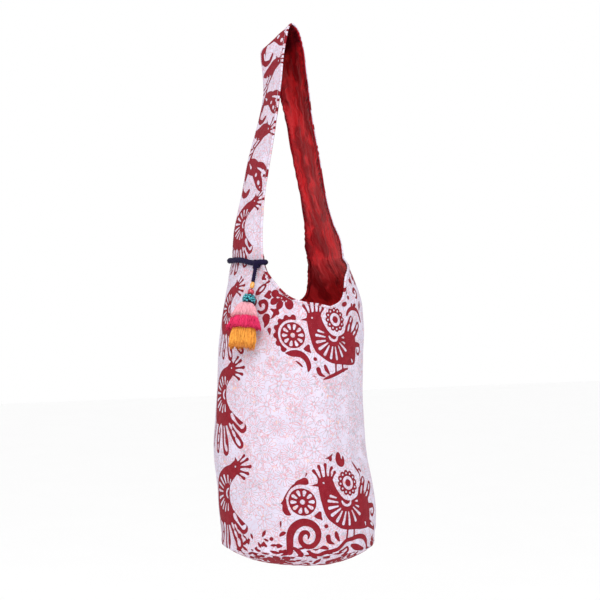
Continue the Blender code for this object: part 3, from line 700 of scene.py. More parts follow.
ARROW = [
    (-23.5, 65.3), (-17, 68.2), (-9.5, 72.2), (-12, 67.5), (-12, 63), (-15.5, 61), (-18, 64.6),
]
WHEEL_HEART = [
    (-51.8, -15), (-48.5, -11.5), (-44, -8.3), (-41, -9.5), (-41, -15.5), (-40, -21.6), (-43.5, -20),
    (-48, -18.6),
]


def bird_and_wheel(pen):
    """What every print of the medallion's block shows."""
    return all_of([
        pen.bird(FAN_BIRD),
        pen.flower_ring(9.7, 28.5, 18.6),
        pen.wheel(-66, 5.6, 19.4),
        pen.shape(WHEEL_HEART),
        pen.disc(-35.2, -30, 3.1),
        pen.tapered([(-32.5, -45.5, 3.8), (-30.5, -52.5, 3.2), (-22.5, -56.6, 0.7)]),
        pen.tapered([(-20.4, -40.5, 2.4), (-18.8, -46, 3.2), (-14.8, -52.5, 1.4)]),
        pen.drop(0.2, -36, -2, -53, 1.7, 1.7),
        pen.drop(13.5, -37, 14.8, -50, 1.6, 1.6),
    ])


def medallion(pen):
    """The bird with its wheel, spiral, flower ring and branch."""
    return all_of([
        bird_and_wheel(pen),
        cut(pen.tapered([(46, -34, 6), (60, -40, 5), (76, -47.5, 3)]),
        pen.tapered([(56, -36, 1.0), (62, -38.5, 1.8), (68, -42, 1.0)])),
        *[pen.shape(arc) for arc in WHEEL_ARCS],
        pen.tapered([(-75, 29.5, 1.3), (-83, 22, 0.9), (-90.3, 11, 1.3)]),
        pen.tapered(SPIRAL),
        pen.drop(-80, -61, -73, -67, 2.4, 3.4),
        pen.tapered(BRANCH),
        pen.tapered([(-43.5, -61, 1.0), (-38, -60.4, 3.0), (-31.5, -63, 1.0)]),
        pen.tapered([(-55, -62, 0.6), (-50, -63, 1.3), (-45, -61.5, 0.5)]),
        pen.tapered([(9, -62, 2.4), (20, -66, 4.8), (36, -70.5, 2.0)]),
        pen.tapered([(-13, -68.5, 1.6), (-6, -66, 1.4), (0, -63, 1.4), (2, -68, 1.8), (-4, -73, 1.8)]),
        pen.shape(OVOID),
        pen.shape(ARROW),
        pen.tapered([(24.5, 59, 0.6), (31, 51, 1.6), (38, 42.5, 1.7), (40.5, 36, 1.1), (38.5, 29, 0.7)]),
        pen.tapered([(38, 43, 1.0), (42, 45.5, 1.3), (45.5, 42, 1.8)]),
        pen.tapered([(-56.5, 41.5, 0.6), (-53.5, 46, 1.0)]),
        pen.tapered([(-101.5, -43.5, 1.4), (-97, -40, 3.0), (-93, -38.5, 0.8)]),
        pen.tapered([(-98.8, -22, 0.7), (-99.3, -26, 1.4), (-99.6, -31, 0.7)]),
        pen.tapered([(-104, -58, 3.4), (-99.5, -58, 1.6)]),
        pen.tapered([(-101, -66, 2.6), (-92, -66.5, 1.2)]),
        pen.hook(100, -40, 9.0, 20),
        pen.petalled(72, -66, 11.0, 6, 10),
    ])


def broken_medallion(pen):
    """The medallion half inked: the spiral keeps its outer turn and the branch its middle."""
    return all_of([
        bird_and_wheel(pen),
        pen.scalloped_arc(-66, 5.6, 23.0, 27.5, 76, 236, 7),
        pen.tapered([(-80, -21, 1.0), (-71, -21.5, 4.6), (-62.5, -21.5, 5.2), (-54.2, -24.5, 4.8),
        (-48.3, -32, 4.2), (-46.7, -41, 3.6), (-48.8, -48, 1.4)]),
        pen.tapered([(-66, -33, 0.8), (-62, -36, 1.8), (-57.5, -41, 1.4)]),
        pen.tapered([(-26, -60.5, 0.9), (-17, -58, 2.3), (-6, -54.5, 2.7), (5, -51, 2.7), (16, -47.5, 2.3),
        (27, -46, 1.2)]),
        pen.tapered([(-42, -55, 0.6), (-38, -57, 0.8)]),
        pen.tapered([(37, 35, 2.0), (42, 41, 2.8), (52, 45, 3.0), (66, 43.5, 3.0), (76, 37, 3.0),
        (81, 25, 2.2)]),
    ])


def rim_spray(pen):
    """The loose flower, hearts and curls by the scoop's left edge; the middle is the flower's eye."""
    flower = [pen.disc(0, 0, 5.5)]
    for cx, cy, long, short, turn in (
        (-17, -4.7, 6.3, 5.4, 20), (-6.9, -10.4, 6.4, 5.2, 60), (7.8, -9, 8.4, 6.4, -55),
        (-17.5, 6.2, 6.4, 5.6, -20), (-6, 13.5, 6.4, 5.0, -70),
        (8, 12, 6.6, 5.0, 55), (13.5, 1.5, 6.4, 4.6, 5),
    ):
        flower.append(pen.oval(cx, cy, long, short, turn))
        flower.append(pen.drop(0, 0, cx, cy, 1.6, 3.0))
    flower = cut(all_of(flower), *[pen.disc(*polar(5.4, a), 1.2) for a in (20, 75, 130, 185, 240, 300)])
    return all_of([
        flower,
        pen.heart(-29.2, 4, 7.0, -75),
        pen.hook(-37, 28, 9.0, 60),
        pen.hook(-35.5, -13, 10.5, 10),
        pen.tapered([(-20, -16, 1.2), (-14, -18.5, 2.6), (-8.5, -21.5, 3.0)]),
        pen.tapered([(-11, -19, 4.0), (-13.5, -24.5, 2.6), (-17.5, -29.5, 0.8)]),
        pen.tapered([(-25.6, -28.6, 6.4), (-24.2, -35, 4.0), (-26.5, -42, 0.9)]),
        pen.tapered([(-18.5, -45, 3.0), (-17.6, -48, 2.2), (-16.6, -52.3, 0.6)]),
        pen.leaf(24, -1, 7.0, -25),
        cut(pen.oval(-44, 12, 11.5, 5.6, 42), pen.oval(-43, 13, 6.0, 2.4, 42)),
        pen.tapered([(-52, 0, 1.0), (-49, -6, 2.8), (-50, -12, 0.8)]),
    ])


def right_rim_spray(pen):
    """The petals and dots by the scoop's right edge."""
    return all_of([
        pen.disc(0, 0, 3.1),
        pen.oval(-11, -9.5, 6.5, 3.6, 10),
        pen.oval(-5, 10, 6.0, 3.6, -50),
        pen.oval(15.5, -11.5, 5.5, 2.8, 15),
        pen.disc(7.5, -10.5, 2.6),
        pen.hook(26, 6, 8.5, 40),
        pen.heart(20, 24, 6.0, 30),
        pen.leaf(36, -12, 7.5, 70),
        pen.petalled(46, 30, 13.0, 6, 10),
    ])


def foot_spray(pen):
    """Small leaves and hearts just above the base seam."""
    return all_of([
        pen.leaf(0, 0, 6.0, 60),
        pen.leaf(3, -9, 4.5, -20),
        pen.disc(11, -7, 3.0),
        pen.heart(-28, -14, 5.0, 20),
        pen.leaf(14, -16, 5.0, 5),
        pen.leaf(-8, -17, 5.0, -60),
    ])


def leaf_scatter(pen):
    """Leaves, hearts and drops thrown close together."""
    return all_of([
        pen.leaf(0, 2, 10.0, 25), pen.leaf(-16, 9, 9.0, -40), pen.leaf(17, -9, 9.5, 70),
        pen.leaf(20, 12, 8.0, 10),
        pen.heart(-10, -12, 7.0, 60), pen.heart(5, -24, 6.0, -30), pen.comma(-27, -6, 8.0, 40),
        pen.comma(8, 19, 8.0, 190),
        pen.disc(-2, 12, 2.8), pen.disc(28, 1, 3.0), pen.disc(-20, -20, 3.0),
    ])


# Where the motifs are printed: flat place (mm), how far the motif reaches (mm), its size across and up, its turn
# (degrees), and how far the cloth's bias moves it to the right for each mm up
Stamp = namedtuple("Stamp", "motif s t reach wide tall turn lean", defaults=(1.0, 1.0, 0, 0.0))
SPRAYS = [
    Stamp(medallion, 19.0, -704.5, 125),
    Stamp(broken_medallion, 6.0, -469.0, 125, 0.95, 0.95, lean=-0.22),
    Stamp(rim_spray, -76.0, -411.0, 70),
    Stamp(right_rim_spray, 40.0, -410.5, 70),
    Stamp(foot_spray, -106.0, -746.0, 50),
    Stamp(foot_spray, -140.0, -763.0, 50, 1.1, 0.9, 160),
    Stamp(leaf_scatter, -72.0, -774.0, 50, 1.1, 0.5, 8),
    Stamp(leaf_scatter, -125.0, -777.0, 50, 1.0, 0.45, -8),
    Stamp(leaf_scatter, -20.0, -780.0, 50, 1.2, 0.4),
    Stamp(leaf_scatter, 90.0, -779.0, 50, 1.2, 0.4, 4),
]
BIRD_ROW = [
    Stamp(row_bird, -172.8, -693.9, 120, 1.06, 1.0, -90, 0.27),
    Stamp(row_bird, -176.1, -550.8, 120, 1.0, 1.0, -90),
    Stamp(row_bird, -188.0, -427.0, 110, 0.85, 0.85, -90, -0.20),
    Stamp(row_bird, -190.0, -300.0, 110, 0.88, 0.88, -90, 0.25),
    Stamp(strap_bird, -187.0, -208.0, 80),
    Stamp(strap_bird, -181.0, -98.0, 80, 1.0, 0.82),
    Stamp(strap_bird, -179.0, 2.0, 80, 1.0, 0.85),
]
FRONT_STAMPS = SPRAYS + BIRD_ROW
STAMPS = FRONT_STAMPS + [stamp._replace(s=stamp.s + HALF_ROUND) for stamp in FRONT_STAMPS]


def base_stamps():
    """The base's print: two birds, and sprays set round them on two circles."""
    stamps = [
        Stamp(medallion, 10.0, -10.0, 125, 0.9, 0.9),
        Stamp(broken_medallion, -20.0, 70.0, 125, 0.8, 0.8, 180),
    ]
    inner, outer, every = 84.0, 99.0, 15
    for number, bearing in enumerate(range(-176, 184, every)):
        motif = (rim_spray, foot_spray, leaf_scatter)[number % 3]
        s, t = polar(outer if number % 2 else inner, bearing - 90)
        stamps.append(Stamp(motif, s, t, 64, 0.95, 0.95, bearing + 40 * number))
    return stamps


# The farthest distance that the print's fields hold, in mm
FAR = 6.0


def laps(wrap):
    """How far the pattern is moved round to be drawn again, where the cloth closes on itself."""
    return (0, 2 * HALF_ROUND) if wrap else (0,)


def print_field(s, t, stamps, wrap=True):
    """Distance in mm outside the red print at flat places, at most FAR."""
    field = np.full(s.shape, FAR)
    for stamp in stamps:
        for shift in laps(wrap):
            ds, dt = s - stamp.s - shift, t - stamp.t
            near = (np.abs(ds) < stamp.reach) & (np.abs(dt) < stamp.reach)
            if not near.any():
                continue
            turn = math.radians(stamp.turn)
            across, up = ds[near] - stamp.lean * dt[near], dt[near]
            x = (across * math.cos(turn) + up * math.sin(turn)) / stamp.wide
            y = (-across * math.sin(turn) + up * math.cos(turn)) / stamp.tall
            field[near] = np.minimum(field[near], stamp.motif(Pen(x, y)) * min(stamp.wide, stamp.tall))
    return field


# The outlined flowers: how many petals, where they start and end, and their half widths there, in mm. They stand
# in staggered rows, a cell apart, each moved by up to the stray.
LineFlower = namedtuple("LineFlower", "petals inner outer start end")
LINE_FLOWERS = (
    LineFlower(9, 5, 12, 1.2, 2.3), LineFlower(7, 4.5, 9.5, 1.6, 2.8), LineFlower(12, 7, 13, 0.9, 1.9),
    LineFlower(14, 4.5, 10, 0.8, 1.4),
)
RINGED = 2
FLOWER_CELL = 36.0
FLOWER_ROWS = 28
FLOWER_TOP = 30
FLOWER_STRAY = 4
FLOWER_REACH = 28


def line_flower(pen, kind, turn, size):
    """One outlined flower with its sprigs, as two fields, so that neighbouring petals keep their own outlines."""
    flower = LINE_FLOWERS[kind]
    layers = ([], [])
    for k in range(flower.petals):
        degrees = turn + 360 * k / flower.petals
        a, b = polar(flower.inner * size, degrees), polar(flower.outer * size, degrees)
        layers[k % 2].append(pen.drop(*a, *b, flower.start * size, flower.end * size))
    if kind == RINGED:
        layers[0].append(cut(pen.disc(0, 0, 5.0 * size), pen.disc(0, 0, 2.6 * size)))
    else:
        layers[0].append(pen.disc(0, 0, 2.4 * size))
    for start in (turn + 40, turn + 220):
        stem = [polar(radius, start + degrees) for radius, degrees in ((15, 0), (19, 25), (20, 60), (25, 85))]
        layers[1].append(pen.stroke(stem, [0.9, 1.1, 1.1, 0.7], 3))
        for k, degrees in enumerate((18, 40, 62, 84)):
            tip = polar(25 if k % 2 else 15, start + degrees + 10)
            layers[k % 2].append(pen.drop(*polar(19.2, start + degrees), *tip, 0.7, 2.4))
    return [np.minimum(all_of(fields), FAR) for fields in layers]


def line_flowers(s, t, wrap=True):
    """Two fields whose zero lines are the fine outlined flowers and stems that cover the ground."""
    layers = [np.full(s.shape, FAR), np.full(s.shape, FAR)]
    dice = np.random.RandomState(11)
    for column in range(int(2 * HALF_ROUND / FLOWER_CELL)):
        for row in range(FLOWER_ROWS):
            cx = (column + 0.5 * (row % 2)) * FLOWER_CELL - HALF_ROUND + dice.uniform(-FLOWER_STRAY, FLOWER_STRAY)
            cy = FLOWER_TOP - row * FLOWER_CELL * 0.87 + dice.uniform(-FLOWER_STRAY, FLOWER_STRAY)
            kind, turn, size = dice.randint(0, 4), dice.uniform(0, 360), dice.uniform(0.85, 1.25)
            for shift in laps(wrap):
                near = (np.abs(s - cx - shift) < FLOWER_REACH) & (np.abs(t - cy) < FLOWER_REACH)
                if not near.any():
                    continue
                drawn = line_flower(Pen(s[near] - cx - shift, t[near] - cy), kind, turn, size)
                for layer, field in zip(layers, drawn):
                    layer[near] = np.minimum(layer[near], field)
    return layers


def cloth_fields(s, t, stamps=STAMPS, wrap=True):
    """All the values that the printed cotton's material reads."""
    line_a, line_b = line_flowers(s, t, wrap)
    red = print_field(s, t, stamps, wrap)
    return {"print": red, "line_a": line_a, "line_b": line_b, "flat_s": s, "flat_t": t}


# Meshes
def grid_faces(rows, columns, closed, flip):
    """The four-sided faces between a grid's points; a closed grid's last column meets its first."""
    index = np.arange(rows * columns).reshape(rows, columns)
    right = np.roll(index, -1, 1) if closed else index[:, 1:]
    left = index if closed else index[:, :-1]
    faces = np.stack((left[:-1], right[:-1], right[1:], left[1:]), -1).reshape(-1, 4)
    return faces[:, ::-1] if flip else faces


class Sheets:
    """Collects several grids into one mesh."""

    def __init__(self):
        self.points, self.faces, self.normals, self.values, self.count = [], [], [], {}, 0

    def add(self, grid, closed=False, flip=False, normal=None, **values):
        """Adds a grid, with a value for each of its points under each name."""
        rows, columns = grid.shape[:2]
        if normal is not None:
            self.normals.append((-normal if flip else normal).reshape(-1, 3))
        self.faces.append(grid_faces(rows, columns, closed, flip) + self.count)
        self.points.append(grid.reshape(-1, 3))
        for name, field in values.items():
            self.values.setdefault(name, []).append(np.broadcast_to(field, (rows, columns)).reshape(-1))
        self.count += rows * columns

    def piece(self, name, material, slot, *nodes):
        """Makes the mesh and puts it on the bag: it rides on the body and stands for those solids."""
        mesh = bpy.data.meshes.new(name)
        mesh.from_pydata(np.concatenate(self.points).tolist(), [], np.concatenate(self.faces).tolist())
        for key, found in self.values.items():
            field = np.concatenate(found).astype(np.float32)
            mesh.attributes.new(key, "FLOAT", "POINT").data.foreach_set("value", field)
        mesh.shade_smooth()
        mesh.update()
        if self.normals:
            mesh.normals_split_custom_set_from_vertices(np.concatenate(self.normals).tolist())
        mesh.materials.append(material)
        piece = bpy.data.objects.new(name, mesh)
        bpy.context.scene.collection.objects.link(piece)
        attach(piece, BODY_NAME)
        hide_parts(*nodes)


def tube_grid(path, radius, sides):
    """Rings of points round a path; the radius may change along it."""
    tangents = unit(np.gradient(path, axis=0))
    side = np.cross(tangents[0], (0.0, 0.0, 1.0) if abs(tangents[0][2]) < 0.9 else (1.0, 0.0, 0.0))
    across = []
    for tangent in tangents:
        side = unit(side - tangent * np.dot(side, tangent))
        across.append(side)
    across = np.array(across)
    up = np.cross(tangents, across)
    turn = np.linspace(0, 2 * np.pi, sides, endpoint=False)[None, :, None]
    radius = np.broadcast_to(np.asarray(radius, float), len(path))[:, None, None]
    rings = across[:, None, :] * np.cos(turn) + up[:, None, :] * np.sin(turn)
    return path[:, None, :] + rings * radius


def revolved(profile, sides):
    """A profile of radii and depths turned round the upright axis, as a closed grid."""
    turn = np.linspace(0, 2 * np.pi, sides, endpoint=False)
    radius, down = np.array(profile)[:, :, None].transpose(1, 0, 2)
    return np.stack((radius * np.cos(turn), radius * np.sin(turn), np.repeat(-down, sides, 1)), -1)


# Materials
class Shader:
    """Makes the nodes of one material."""

    def __init__(self, name):
        self.material = bpy.data.materials.new(name)
        self.material.use_nodes = True
        self.tree = self.material.node_tree
        self.surface = self.tree.nodes["Principled BSDF"]

    def feed(self, socket, value):
        """Links a value to a socket, or sets it there when it is a constant."""
        if isinstance(value, bpy.types.NodeSocket):
            self.tree.links.new(value, socket)
        elif hasattr(value, "__len__") and len(value) == 3 and socket.type == "RGBA":
            socket.default_value = (*value, 1.0)
        else:
            socket.default_value = value

    def node(self, kind, settings=(), **inputs):
        """A node with its settings, whose inputs are named with _ for each space."""
        node = self.tree.nodes.new(kind)
        for key, value in dict(settings).items():
            setattr(node, key, value)
        for key, value in inputs.items():
            self.feed(node.inputs[key.replace("_", " ")], value)
        return node

    def math(self, operation, *values):
        node = self.node("ShaderNodeMath", {"operation": operation})
        for socket, value in zip(node.inputs, values):
            self.feed(socket, value)
        return node.outputs[0]

    def mix(self, share, a, b):
        """The colour a, or b where the share is one."""
        node = self.node("ShaderNodeMix", {"data_type": "RGBA"})
        for place, value in ((0, share), (6, a), (7, b)):
            self.feed(node.inputs[place], value)
        return node.outputs[2]

    def ramp(self, value, start, end, low=0.0, high=1.0):
        """A smooth step: low before start and high after end."""
        numbers = {"From_Min": start, "From_Max": end, "To_Min": low, "To_Max": high}
        smooth = {"interpolation_type": "SMOOTHSTEP"}
        return self.node("ShaderNodeMapRange", smooth, Value=value, **numbers).outputs[0]

    def field(self, name):
        """A value that the mesh holds for each of its points."""
        which = {"attribute_name": name, "attribute_type": "GEOMETRY"}
        return self.node("ShaderNodeAttribute", which).outputs["Fac"]

    def flat(self, s, t):
        """A place in the cloth's own flat millimetres."""
        return self.node("ShaderNodeCombineXYZ", X=s, Y=t).outputs[0]

    def noise(self, vector, scale, detail=2.0, roughness=0.5):
        made = self.node("ShaderNodeTexNoise", Vector=vector, Scale=scale, Detail=detail, Roughness=roughness)
        return made.outputs["Fac"]

    def stretched(self, vector, scale):
        return self.node("ShaderNodeMapping", Vector=vector, Scale=scale).outputs[0]

    def place(self):
        """Places on the piece in millimetres."""
        where = self.node("ShaderNodeNewGeometry").outputs["Position"]
        return self.stretched(where, (1 / MM, 1 / MM, 1 / MM))

    def threads(self, flat, direction):
        """The cloth's threads in one direction."""
        bands = {"bands_direction": direction}
        return self.node("ShaderNodeTexWave", bands, Vector=flat, Scale=0.62, Distortion=0.6).outputs["Fac"]

    def bump(self, height, distance, strength, under=None):
        node = self.node("ShaderNodeBump", Height=height, Distance=distance, Strength=strength)
        if under is not None:
            self.feed(node.inputs["Normal"], under)
        return node.outputs[0]

    def finish(self, **inputs):
        """Feeds the surface, and gives the material."""
        for key, value in inputs.items():
            self.feed(self.surface.inputs[key.replace("_", " ")], value)
        return self.material


def outlines(shader, flat, line_a, line_b):
    """How strongly the ground's fine outlines show: the flowers' edges and thin scrolls between them."""
    lines = 0.0
    for line in (line_a, line_b):
        lines = shader.math("MAXIMUM", lines, shader.ramp(shader.math("ABSOLUTE", line), 0.26, 0.72, 1.0, 0.0))
    clear = shader.ramp(shader.math("MINIMUM", line_a, line_b), 0.5, 1.2)
    scroll = shader.noise(flat, 0.085, 1.0, 0.4)
    for level in (0.46, 0.555):
        away = shader.math("ABSOLUTE", shader.math("SUBTRACT", scroll, level))
        drawn = shader.math("MULTIPLY", shader.ramp(away, 0.005, 0.015, 0.9, 0.0), clear)
        lines = shader.math("MAXIMUM", lines, drawn)
    strength = shader.ramp(shader.noise(flat, 0.35, 2.0), 0.36, 0.62, 0.42, 1.0)
    return shader.math("MULTIPLY", lines, strength)


def outline_colour(shader, flat, cloth):
    """The outlines' colour, warm or cool by patches, with a few orange dabs."""
    to_the_right = shader.ramp(shader.field("flat_s"), -60.0, 100.0, -0.02, 0.05)
    cooler = shader.ramp(shader.math("ADD", shader.noise(flat, 0.22, 2.0), to_the_right), 0.46, 0.56)
    colour = shader.mix(cooler, cloth.line_colour_warm, cloth.line_colour_cool)
    return shader.mix(shader.ramp(shader.noise(flat, 0.11, 1.0), 0.66, 0.72), colour, cloth.line_colour_dab)


def printed_cotton(name, cloth):
    """Block printed cotton: a pale ground with fine coloured outlines, under red motifs."""
    shader = Shader(name)
    flat = shader.flat(shader.field("flat_s"), shader.field("flat_t"))
    grain = shader.noise(flat, 0.9, 3.0)
    weave = shader.math("ADD", shader.threads(flat, "X"), shader.threads(flat, "Y"))

    # The ground with its outlines, with painted soft shade in wide greyer patches and painted shade between the
    # threads
    greyer = shader.ramp(shader.noise(flat, 0.035, 3.0), 0.35, 0.65)
    ground = shader.mix(greyer, cloth.ground_colour, cloth.ground_painted_shade)
    lines = outlines(shader, flat, shader.field("line_a"), shader.field("line_b"))
    ground = shader.mix(lines, ground, outline_colour(shader, flat, cloth))
    # Painted shade between the threads
    ground = shader.mix(shader.ramp(weave, 0.2, 1.6, 0.10, 0.0), ground, (0.45, 0.36, 0.42))

    # The ink: worn in patches, dark where it gathers at its edge, and speckled with the ground
    edge = shader.math("ADD", shader.field("print"), shader.math("MULTIPLY_ADD", grain, 0.9, -0.45))
    inked = shader.ramp(edge, -0.30, 0.30, 1.0, 0.0)
    rim = shader.math("MULTIPLY", shader.ramp(edge, -1.5, -0.5), inked)
    worn = shader.ramp(shader.noise(flat, 0.10, 4.0, 0.6), 0.35, 0.70)
    ink = shader.mix(worn, cloth.print_colour, cloth.print_shade)
    ink = shader.mix(shader.math("MULTIPLY", rim, 0.55), ink, cloth.print_edge)
    ink = shader.mix(shader.ramp(grain, 0.58, 0.80, 0.0, 0.16), ink, cloth.ground_colour)

    lengthwise = shader.noise(shader.stretched(flat, (1, 0.35, 1)), 0.12, 3.0)
    wrinkle = shader.math("ADD", shader.noise(flat, 0.06, 4.0), lengthwise)
    return shader.finish(
        Base_Color=shader.mix(inked, ground, ink), Roughness=shader.ramp(grain, 0.2, 0.8, 0.74, 0.90),
        Normal=shader.bump(weave, 0.00012, 0.35, shader.bump(wrinkle, 0.0020, 0.5)),
        Sheen_Weight=0.02, Sheen_Roughness=0.6, Specular_IOR_Level=0.06,
    )


def crimson_satin(name, lining):
    """Crushed satin: lengthwise streaks, with painted light along its creases and threads and on its lower part,
    painted shade in its crush, dark streaks and wide patches, and painted shadow under its edges and in the top fold.
    """
    shader = Shader(name)
    s, t = shader.field("flat_s"), shader.field("flat_t")
    flat = shader.flat(s, t)
    warp = shader.noise(flat, 0.03, 2.0)
    bent = shader.flat(shader.math("MULTIPLY_ADD", warp, 40.0, s), shader.math("MULTIPLY_ADD", warp, 25.0, t))
    crush = shader.noise(shader.stretched(bent, (1, 0.42, 1)), 0.050, 4.0, 0.55)
    streak = shader.noise(shader.stretched(bent, (1, 0.12, 1)), 0.20, 4.0, 0.65)
    thread = shader.noise(shader.stretched(flat, (1, 0.05, 1)), 1.6, 2.0)
    patches = shader.noise(shader.stretched(bent, (1, 0.7, 1)), 0.030, 3.0)
    # Painted shade in the crush's creases
    colour = shader.mix(shader.ramp(crush, 0.36, 0.56), lining.painted_shade_colour, lining.colour)
    for share, tint in (
        # Painted shade along the dark streaks, and painted highlights along the light streaks and the threads
        (shader.ramp(streak, 0.30, 0.46, 0.22, 0.0), lining.painted_shade_colour),
        (shader.ramp(streak, 0.55, 0.72, 0.0, 0.3), lining.painted_light_colour),
        (shader.ramp(thread, 0.55, 0.8, 0.0, 0.25), lining.painted_light_colour),
        # Painted light on the lining's lower part, below the strap's root
        (shader.ramp(t, -372.0, -335.0, 0.70, 0.0), lining.painted_light_colour),
        # Painted shade in wide patches
        (shader.ramp(patches, 0.48, 0.60, 0.0, 0.75), lining.painted_shade_colour),
        # Painted shadow under the edges and in the top fold
        (shader.field("deep"), lining.painted_shadow_colour),
    ):
        colour = shader.mix(share, colour, tint)
    return shader.finish(
        Base_Color=colour, Roughness=shader.ramp(thread, 0.2, 0.8, 0.34, 0.5),
        Normal=shader.bump(streak, 0.0008, 0.5, shader.bump(crush, 0.006, 0.7)),
        Anisotropic=0.5, Metallic=0.72, Specular_IOR_Level=0.04,
    )


def spun_yarn(name, colour, dark, fineness):
    """Twisted yarn: fine fibres and uneven dye, darker where the mesh's shade value is high; on the tufts that is each
    strand's tone, darker strand ends, and painted shade on the core.
    """
    shader = Shader(name)
    place = shader.place()
    fibre = shader.noise(place, 2.4 * fineness, 3.0, 0.6)
    dye = shader.ramp(shader.noise(place, 0.25 * fineness, 2.0), 0.40, 0.70, 0.0, 0.25)
    tint = shader.mix(shader.math("MAXIMUM", dye, shader.field("shade")), colour, dark)
    lighter = [min(1.0, part * 1.5 + 0.01) for part in colour]
    return shader.finish(
        Base_Color=shader.mix(shader.ramp(fibre, 0.50, 0.85, 0.0, 0.35), tint, lighter),
        Roughness=shader.ramp(fibre, 0.2, 0.8, 0.70, 0.92), Normal=shader.bump(fibre, 0.0004, 0.6),
        Sheen_Weight=0.03, Sheen_Roughness=0.5, Specular_IOR_Level=0.10,
    )


def glassy(name, colour, deep, roughness, coat, metallic=0.0):
    """A bead of glass or glazed stuff: depth of colour, small pits and a hard gloss."""
    shader = Shader(name)
    place = shader.place()
    pits = shader.noise(place, 2.0, 2.0)
    cloud = shader.ramp(shader.noise(place, 0.35, 3.0), 0.35, 0.65)
    return shader.finish(
        Base_Color=shader.mix(cloud, colour, deep), Normal=shader.bump(pits, 0.0001, 0.3),
        Roughness=shader.ramp(pits, 0.3, 0.8, roughness, roughness + 0.15),
        Metallic=metallic, Coat_Weight=coat, Coat_Roughness=0.06,
    )


def pale_floor(name, colour):
    """A nearly even floor, a little greyer in wide patches."""
    shader = Shader(name)
    place = shader.place()
    greyer = shader.ramp(shader.noise(place, 0.004, 2.0), 0.3, 0.7, 0.0, 0.03)
    rough = shader.ramp(shader.noise(place, 0.05), 0.3, 0.7, 0.8, 0.95)
    return shader.finish(Base_Color=shader.mix(greyer, colour, (0.8, 0.8, 0.8)), Roughness=rough)


def shared_material(make, name, *values):
    """The material of that name, made on its first use."""
    return bpy.data.materials.get(name) or make(name, *values)


# Settings
def colour(name, about, value):
    return bpy.props.FloatVectorProperty(
        name=name, description=about, subtype="COLOR", size=3, min=0, max=1, default=value
    )


def length(name, about, value, low, high):
    return bpy.props.FloatProperty(name=name, description=about, unit="LENGTH", default=value, min=low, max=high)


class JHOLA_cloth_settings(bpy.types.PropertyGroup):
    ground_colour: colour("Ground", "The cotton's ground colour", (0.70, 0.645, 0.775))
    # Painted soft shade: the ground in its wide greyer patches
    ground_painted_shade: colour("Ground shade", "The ground where it is a little greyer", (0.635, 0.590, 0.715))
    print_colour: colour("Print", "The block print's red", (0.215, 0.010, 0.019))
    print_shade: colour("Print, worn", "The print where the ink is thinner", (0.265, 0.016, 0.027))
    print_edge: colour("Print edge", "The dark line where the ink gathers", (0.150, 0.005, 0.010))
    line_colour_warm: colour("Outline, warm", "Coral outlines on the ground", (0.66, 0.30, 0.34))
    line_colour_cool: colour("Outline, cool", "Grey green outlines on the ground", (0.42, 0.39, 0.44))
    line_colour_dab: colour("Outline, dabs", "The few orange outlines", (0.84, 0.42, 0.26))
    crease: bpy.props.FloatProperty(
        name="Creases", description="How strongly the fine creases show", subtype="FACTOR", default=1.0, min=0, max=3
    )
    stitch_length: length("Stitch", "Length of a hem stitch", 0.0030, 0.001, 0.02)
    hem_width: length("Hem", "Width of the turned edge", 0.0042, 0.001, 0.02)


class JHOLA_lining_settings(bpy.types.PropertyGroup):
    colour: colour("Satin", "The lining's red", (0.64, 0.016, 0.022))
    # Painted shade: the satin in its creases, along dark streaks and in wide patches
    painted_shade_colour: colour("Satin shade", "The lining in its creases", (0.26, 0.005, 0.009))
    # Painted highlight: the satin's shining streaks and threads, and its lighter lower part
    painted_light_colour: colour("Satin light", "The lining's shining threads", (0.86, 0.045, 0.055))
    # Painted shadow: the satin under its edges and in the top fold
    painted_shadow_colour: colour("Satin depth", "The lining under its edges and the top fold", (0.060, 0.002, 0.008))
    crinkle: length("Crinkle", "Height of the lining's creases", 0.0010, 0, 0.005)


class JHOLA_tassel_settings(bpy.types.PropertyGroup):
    cord_colour: colour("Cord", "The tie cord's navy", (0.010, 0.006, 0.032))
    pink: colour("Pink", "The top tuft", (0.93, 0.47, 0.54))
    magenta: colour("Magenta", "The middle tuft", (0.86, 0.045, 0.17))
    saffron: colour("Saffron", "The lowest tuft", (0.96, 0.44, 0.075))
    amber: colour("Amber", "The upper bead", (0.80, 0.40, 0.08))
    ruby: colour("Ruby", "The lower bead", (0.55, 0.012, 0.045))
    turquoise: colour("Turquoise", "The seed beads", (0.03, 0.36, 0.40))
    strands: bpy.props.IntProperty(
        name="Strands", description="Strands of yarn in each tuft", default=620, min=50, max=2000
    )
    strand_radius: length("Strand", "Radius of a strand of yarn", 0.00045, 0.0001, 0.002)


class JHOLA_stage_settings(bpy.types.PropertyGroup):
    floor_height: length("Floor", "Height of the floor below the hanging bag", -1.30, -100, -0.82)
    floor_colour: colour("Floor colour", "The pale floor", (0.97, 0.97, 0.97))
    camera_distance: length("Camera distance", "Level distance from the bag's middle", 1.9, 0.5, 100)
    camera_azimuth: bpy.props.FloatProperty(
        name="Camera azimuth", description="Way round the bag to the camera", subtype="ANGLE",
        default=math.radians(-28),
    )
    camera_height: length("Camera height", "Height of the level camera", -0.414, -100, 100)
    lens: bpy.props.FloatProperty(name="Lens", description="Focal length in mm", default=76.0, min=10)
    light: bpy.props.FloatProperty(name="Light", description="Strength of the soft lights", default=1.0, min=0)


class JHOLA_settings(bpy.types.PropertyGroup):
    cloth: bpy.props.PointerProperty(type=JHOLA_cloth_settings, name="Cloth", description="The printed cotton")
    lining: bpy.props.PointerProperty(type=JHOLA_lining_settings, name="Lining", description="The satin lining")
    tassel: bpy.props.PointerProperty(type=JHOLA_tassel_settings, name="Tassel", description="The cord and its tassel")
    stage: bpy.props.PointerProperty(type=JHOLA_stage_settings, name="Stage", description="Floor, lights and camera")


def settings():
    return bpy.context.scene.jhola_bag


